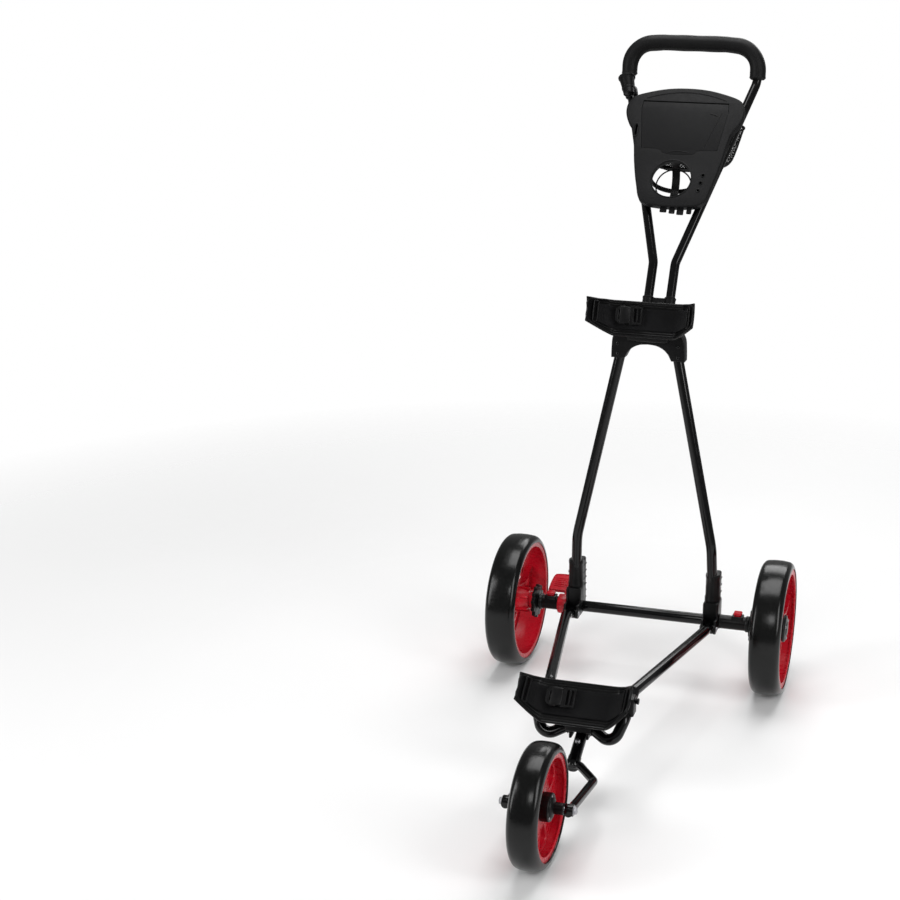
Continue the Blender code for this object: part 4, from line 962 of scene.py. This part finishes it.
def make_fork():
    along = (FORK_CROWN - FORK_PIVOT).normalized()
    up = Vector((0, along.z, -along.y))
    stem = union(sweep([FORK_PIVOT, FORK_PIVOT.lerp(FORK_CROWN, 0.5), FORK_CROWN], 11.5, 40),
                 rod(11.5, 27, FORK_PIVOT, 1))
    crown = sweep([FORK_CROWN + along * step for step in (-12, 0, 10.5, 13)],
                  [12.4, 13, 12.6, 10.8], 40)
    face, lean = FORK_PIVOT + along * 46 + up * 11, facing(up)
    well = rod(4.9, 14, face, axis="Z", turn=lean)
    dress("fork_stem", "tube", joined(cut(stem, well), crown), STEEL, "fork")
    button = lathe([(0, -5), (4.3, -5), (4.5, 3), (4, 4.4), (2.4, 5.2), (0, 5.4)], 32, "Z",
                   face + up * 2.2, lean)
    dress("fork_lock_button", "dome", button, ZINC, "fork_lock")
    path = FORK_ARM + [(-x, y, z) for x, y, z in reversed(FORK_ARM)]
    eyes = [rod(10.4, 14.6, FRONT_AXLE + Vector((side * 56.2, 0, 0)), 1.2) for side in SIDES]
    dress("fork_arms", "bar", union(tube(path, 8, 18, 12, 32), *eyes), STEEL, "fork")
    bolt = [rod(4, 135, FRONT_AXLE)]
    for side in SIDES:
        head = lathe([(0, 0), (7, 0), (7, 3.4), (6.2, 4.6), (5.2, 5), (0, 5)], 6, "X")
        head = head if side > 0 else mirrored(head)
        bolt.append(placed(head, FRONT_AXLE + Vector((side * 64.4, 0, 0))))
        bolt.append(ring(4.1, 9, 1, FRONT_AXLE + Vector((side * 64, 0, 0)), 0.3))
    dress("front_axle_bolt", "hex", joined(*bolt), ZINC, "fork", 28)


# Handle, console and what hangs on it ---
def on_handle(mesh):
    mesh.transform(HANDLE_PLANE)
    return mesh


def make_handle():
    bend, most = 52, 0.76
    along = (HANDLE_BEND - HANDLE_PIVOT).normalized()
    neck = Vector((HALF_NECK, 0, 0))
    side = [HANDLE_PIVOT + along * 48.4 + neck, HANDLE_BEND + neck, GRIP_END,
            Vector((143, 374, 1336)), Vector((70, 376.2, 1342))]
    mirror = [Vector((-p.x, p.y, p.z)) for p in reversed(side)]
    dress("handle_tube", "loop", tube(side + mirror, HANDLE_TUBE, bend, 16, 36, most), STEEL,
          "handle")
    make_grip(side, mirror, bend, most)
    lean = Matrix.Rotation(-math.atan2(along.y, along.z), 3, "X")
    legs = [lathe([(0, -24), (12.8, -24), (12, -10), (11.8, 20), (12.4, 20.6), (12.4, 23.2),
                   (11.2, 24), (0, 24)], 44, "Z",
                  HANDLE_PIVOT + along * 24 + Vector((x, 0, 0)), lean)
            for x in (-HALF_NECK, HALF_NECK)]
    barrel = rod(15.5, 72.2, HANDLE_PIVOT, 1.2, sides=56)
    bar = box((50, 10, 12), HANDLE_PIVOT + along * 40, 1.6, lean)
    web = box((46, 6, 30), HANDLE_PIVOT + along * 20, 1.2, lean)
    dress("handle_base", "casting", union(barrel, bar, web, *legs), PLASTIC, "handle", 32)
    screws = [screw_mesh(3.4, HANDLE_PIVOT + along * 34 + lean @ Vector((x, 11.6, 0)),
                         lean @ Vector((0, 1, 0)), 2) for x in (-HALF_NECK, HALF_NECK)]
    add("handle_base_screws", joined(*screws), ZINC, "handle")


def make_grip(side, mirror, bend, most):
    """A foam sleeve round the top of the handle, with soft lips at its ends."""
    start = side[2].lerp(side[3], 0.06)
    ends = start, Vector((-start.x, start.y, start.z))
    path = rounded_path([ends[0], *side[3:], *mirror[:2], ends[1]], bend, 18, most)
    fine = []
    for a, b in zip(path, path[1:]):
        steps = max(1, round((b - a).length / 4))
        fine += [a.lerp(b, i / steps) for i in range(steps)]
    fine.append(path[-1])
    lengths = [length_of(fine[:i + 1]) for i in range(len(fine))]
    radii = []
    for at in lengths:
        near = min(at, lengths[-1] - at)
        lip = 0.9 * math.exp(-((near - 3.5) / 2.2) ** 2)
        round_end = 3 * (1 - min(1.0, near / 2.5)) ** 2
        radii.append(GRIP + lip - round_end + 0.3 * math.sin(at * 0.095))
    grip = dress("foam_grip", "sleeve", sweep(fine, radii, 48), FOAM, "handle")


def console_outline(inset=0.0):
    right = [(30, 118.5), (68, 129), (83, 169), (94, 216), (100, 252), (104, 276), (110, 298),
             (123, 318), (130, 339), (129, 360), (118, 378), (88, 390), (45, 400), (0, 403)]
    points = smooth_line(right + [(-x, y) for x, y in reversed(right[:-1])], closed=True)
    middle = Vector((0, 260))
    return [tuple(middle + (p - middle) * (1 - inset / (p - middle).length)) for p in points]


def lid_outline(slack=0.0, hinge_room=0.0):
    low, high = LID_LOW - slack, LID_HIGH + hinge_room
    right = [(28, low - 6), (45, low + 4), (83 + slack, low + 6)]
    wavy = smooth_outline([(-x, y) for x, y in reversed(right)] + right, 6, closed=False)
    return wavy + [(96 + slack, high - 20), (94 + slack, high), (-94 - slack, high),
                   (-96 - slack, high - 20)]


def at_face(mesh, below=0.0, at=(0, 0)):
    """A console shape with its middle that far under the console's front."""
    return placed(mesh, (*at, FACE - below))


def make_console_front():
    depth, through = 19, 100
    lid_gap = lid_outline(0.6, 2.6)
    front = cut(at_face(plate(console_outline(), depth, edge=3.6, segments=4), depth / 2),
                at_face(plate(console_outline(4), depth), depth / 2 + 3),
                rod(43, through, (*CUP_AT, 0), axis="Z", sides=96),
                at_face(plate(lid_gap, through, edge=0.1), depth / 2),
                box((5, 26, through), (*SLOT_AT, 0), 0),
                *[rod(3, through, (*tee, 0), axis="Z", sides=24) for tee in TEES])
    rim_outline = lid_outline(4, 8)
    trims = [cut(at_face(plate(rim_outline, 6.2, edge=0.4), 5.6),
                 at_face(plate(lid_gap, through, edge=0.1), depth / 2)),
             cut(at_face(plate(rim_outline, 2, edge=0.3), 8.6),
                 at_face(plate(lid_outline(-6, -6), through, edge=0.1), depth / 2)),
             box((17, 56, 3), (59, 179, FACE - 11), 1.2),
             ring(42.6, 45.6, 3, (*CUP_AT, FACE - 0.4), 1, "Z", sides=96)]
    trims += [ring(3, 5, 2.2, (*tee, FACE - 0.2), axis="Z", sides=32) for tee in TEES]
    trims.append(sweep([Vector((88 * t, 374.5 + 17 * (1 - t * t), FACE - 0.2))
                        for t in (i / 15 - 1 for i in range(31))], 1.1, 10))
    trims += [box((width, 16, 5), (x, y, FACE - 11), 2) for x, y, width in (
        (-16, 116, 15), (3, 114, 13), (21, 112, 15), (40, 115, 11))]
    trims += [box((3, 106, 8), (side * 60, 190, FACE - 8), 0.8) for side in SIDES]
    trims += [rod(4.8, 16, (side * u, v, FACE - 10.5), axis="Z", sides=32)
              for side in SIDES for u, v in CONSOLE_SCREWS]
    trims.append(sweep([Vector((SLOT_AT[0] + 5.2 * math.cos(a), SLOT_AT[1] + 15.8 * math.sin(a),
                                FACE + 0.2)) for a in round_angles(40)], 1.2, 10, closed=True))
    dress("console_front", "shell", on_handle(joined(front, *trims)), CONSOLE, "handle", 30)
    back = HANDLE_PLANE.to_3x3() @ Vector((0, 0, -1))
    screws = [screw_mesh(3.6, HANDLE_PLANE @ Vector((side * u, v, FACE - 18.5)), back, 2)
              for side in SIDES for u, v in CONSOLE_SCREWS]
    add("console_screws", joined(*screws), STEEL, "handle")


def make_console_lid():
    lid = [at_face(plate(lid_outline(), 2.8, edge=0.6), 1.5)]
    lid.append(sweep([Vector((52 + 30 * t, 256 + 88 * t, FACE - 0.2))
                      for t in (i / 12 for i in range(13))], 0.7, 8))
    lid.append(sweep([Vector((58, 342, FACE)), Vector((66, 340.5, FACE)),
                      Vector((73, 337, FACE))], 1.1, 8))
    lid += [box((2, 90, 3), (x, 305, FACE - 4), 0.6) for x in (-30, 30)]
    lid += [rod(1.6, 20, (x, LID_HIGH - 1, FACE - 4)) for x in (-60, 0, 60)]
    lid.append(sweep([Vector((44 * t - 22, LID_LOW - 2 + 3 * math.sin(math.pi * t), FACE))
                      for t in (i / 16 for i in range(17))], 1, 8))
    dress("console_lid", "panel", on_handle(joined(*lid)), CONSOLE, "console_lid", 30)


def make_console_tray():
    size = Vector((148, 104, 52))
    tray = cut(box(size, (0, 308, -0.4), 4.2, segments=4),
               box(size - Vector((5, 5, 0)), (0, 308, 2.6), 0))
    ribs = [box((2.4, 2, 44), (25 * i, 308 + side * 52.2, -1), 0.6)
            for i in range(-2, 3) for side in SIDES]
    dress("console_tray", "box", on_handle(joined(tray, *ribs)), CONSOLE, "handle", 32)


def make_cup_basket():
    parts = [ring(43.2, 47.8, 10, edge=1, axis="Z", sides=96)]
    for angle, width, depth in ((0, 10, 52), (90, 17, 46)):
        path = []
        for a in (math.pi * i / 40 for i in range(41)):
            reach = -45.5 * math.cos(a) * (0.8 + 0.2 * abs(math.cos(a)))
            path.append(Vector((reach, 0, -depth * math.sin(a) ** 0.7)))
        rib = sweep([p - Vector((0, 0, 1)) for p in path[3:-3]], 1.8, 8)
        parts += [placed(mesh, turn=turned(angle))
                  for mesh in (band(path, Vector((0, 1, 0)), width, 2.6), rib)]
    hoop = [Vector((x, y, -25)) for x, y in circle((0, 0), 38.5, 60)]
    parts.append(sweep(hoop, 1.6, 10, closed=True))
    dress("cup_basket", "cage", on_handle(placed(joined(*parts), (*CUP_AT, 21.2))), PLASTIC,
          "handle")


def pocket(u, v, out=0.0):
    """The net's surface: u round it, v from its mouth to its bottom seam."""
    angle = math.tau * u
    narrow = 1 - 0.24 * v - 0.42 * max(0.0, (v - 0.6) / 0.4) ** 2
    deep = 30 + 10 * math.sin(math.pi * v) - 24 * max(0.0, (v - 0.5) / 0.5) ** 2
    bulge = out + 1.2 * math.sin(9 * angle) * math.sin(math.pi * v)
    return Vector((118 * narrow * (1 + bulge / 100) * math.cos(angle), 362 - 122 * v,
                   -32 - deep + (deep + bulge) * math.sin(angle)))


def make_net_bag():
    """Knitted net of crossing strands, with a bound mouth and a sewn bottom seam."""
    strands, steps, twist = 88, 40, 0.3
    bars = [sweep([pocket(i / strands + way * twist * j / steps, j / steps,
                          0.3 * way * (-1) ** (i + j)) for j in range(steps + 1)], 0.62, 5)
            for way in SIDES for i in range(strands)]
    net = dress("net_bag", "strands", on_handle(joined(*bars)), NET, "handle")
    hem = sweep([pocket(i / 120, 0.0) for i in range(120)], 2.8, 12, flat=0.75, closed=True)
    seam = sweep([pocket(i / 80, 0.995) for i in range(80)], 1.6, 8, closed=True)
    flap = band([Vector((9.5 * i, 240.5, -38)) for i in range(-4, 5)], Vector((0, 0, 1)), 11,
                1.4)
    clips = []
    for at in (pocket(u, 0.0) for u in (0.13, 0.21, 0.29, 0.37)):
        bottom = Vector((at.x * 0.86, 350, -24))
        clips.append(sweep(rounded_path([at + Vector((0, 4, -3)), at + Vector((0, 4.5, 4)),
                                         bottom, bottom - Vector((0, 6, 0))], 3, 5), 1.8, 10))
    trim = add("net_bag_binding", on_handle(joined(hem, seam, flap)), WEBBING, "handle")
    add("net_bag_clips", on_handle(joined(*clips)), PLASTIC, "handle")
    width = length_of([pocket(i / 120, 0.5) for i in range(121)]) * MM
    height = length_of([pocket(0.25, i / 40) for i in range(41)]) * MM


def make_umbrella_holder():
    grip_end = Vector((-GRIP_END.x, GRIP_END.y, GRIP_END.z))
    up = (grip_end - HANDLE_BEND + Vector((HALF_NECK, 0, 0))).normalized()
    mouth = Vector((-141, 328.8, 1267.6))
    half, turn = 22, facing(up)
    funnel = lathe([(9.2, 3 - half), (10.4, -half), (12, 1.2 - half), (12.8, -10), (14, -9.2),
                    (14.3, -6), (13.4, -5), (16.8, half - 5.2), (18.7, half - 4),
                    (19.1, half - 1.2), (18.2, half), (16.6, half - 0.6), (15.8, half - 4)],
                   64, "Z", mouth - up * half, turn, closed=True)
    floor = rod(10, 3, mouth - up * (2 * half - 3), axis="Z", turn=turn)
    dress("umbrella_socket", "funnel", joined(funnel, floor), PLASTIC, "handle")
    reach = mouth - grip_end
    rise = reach.dot(up)
    out = reach - up * rise
    centre = grip_end + up * (rise - half)
    front = out.normalized()
    across = up.cross(front)
    on_tube = Matrix((across, front, up)).transposed()
    near, far = 11, out.length - 14  # the bridge runs from the tube to the funnel
    bridge = box((11, far - near, 16), centre + front * ((near + far) / 2), 1.4, on_tube)
    lugs = box((10, 9, 15), centre - front * 16, 1.4, on_tube)
    clamp = ring(HANDLE_TUBE + 0.2, 14.2, 20, centre, 1, "Z", turn)
    dress("umbrella_clamp", "ring", joined(clamp, bridge, lugs), PLASTIC, "handle")
    bolt = [screw_mesh(3.6, centre - front * 17 + across * (side * 5), across * side, 2.4)
            for side in SIDES]
    add("umbrella_clamp_screws", joined(*bolt), ZINC, "handle")


for make in (make_camera, make_studio, make_rear_wheels, make_front_wheel, make_rear_axle,
             make_brake_pedal, make_yoke, make_lock_knob, make_saddles, make_lower_frame,
             make_fork, make_handle, make_console_front, make_console_lid, make_console_tray,
             make_cup_basket, make_net_bag, make_umbrella_holder):
    make()
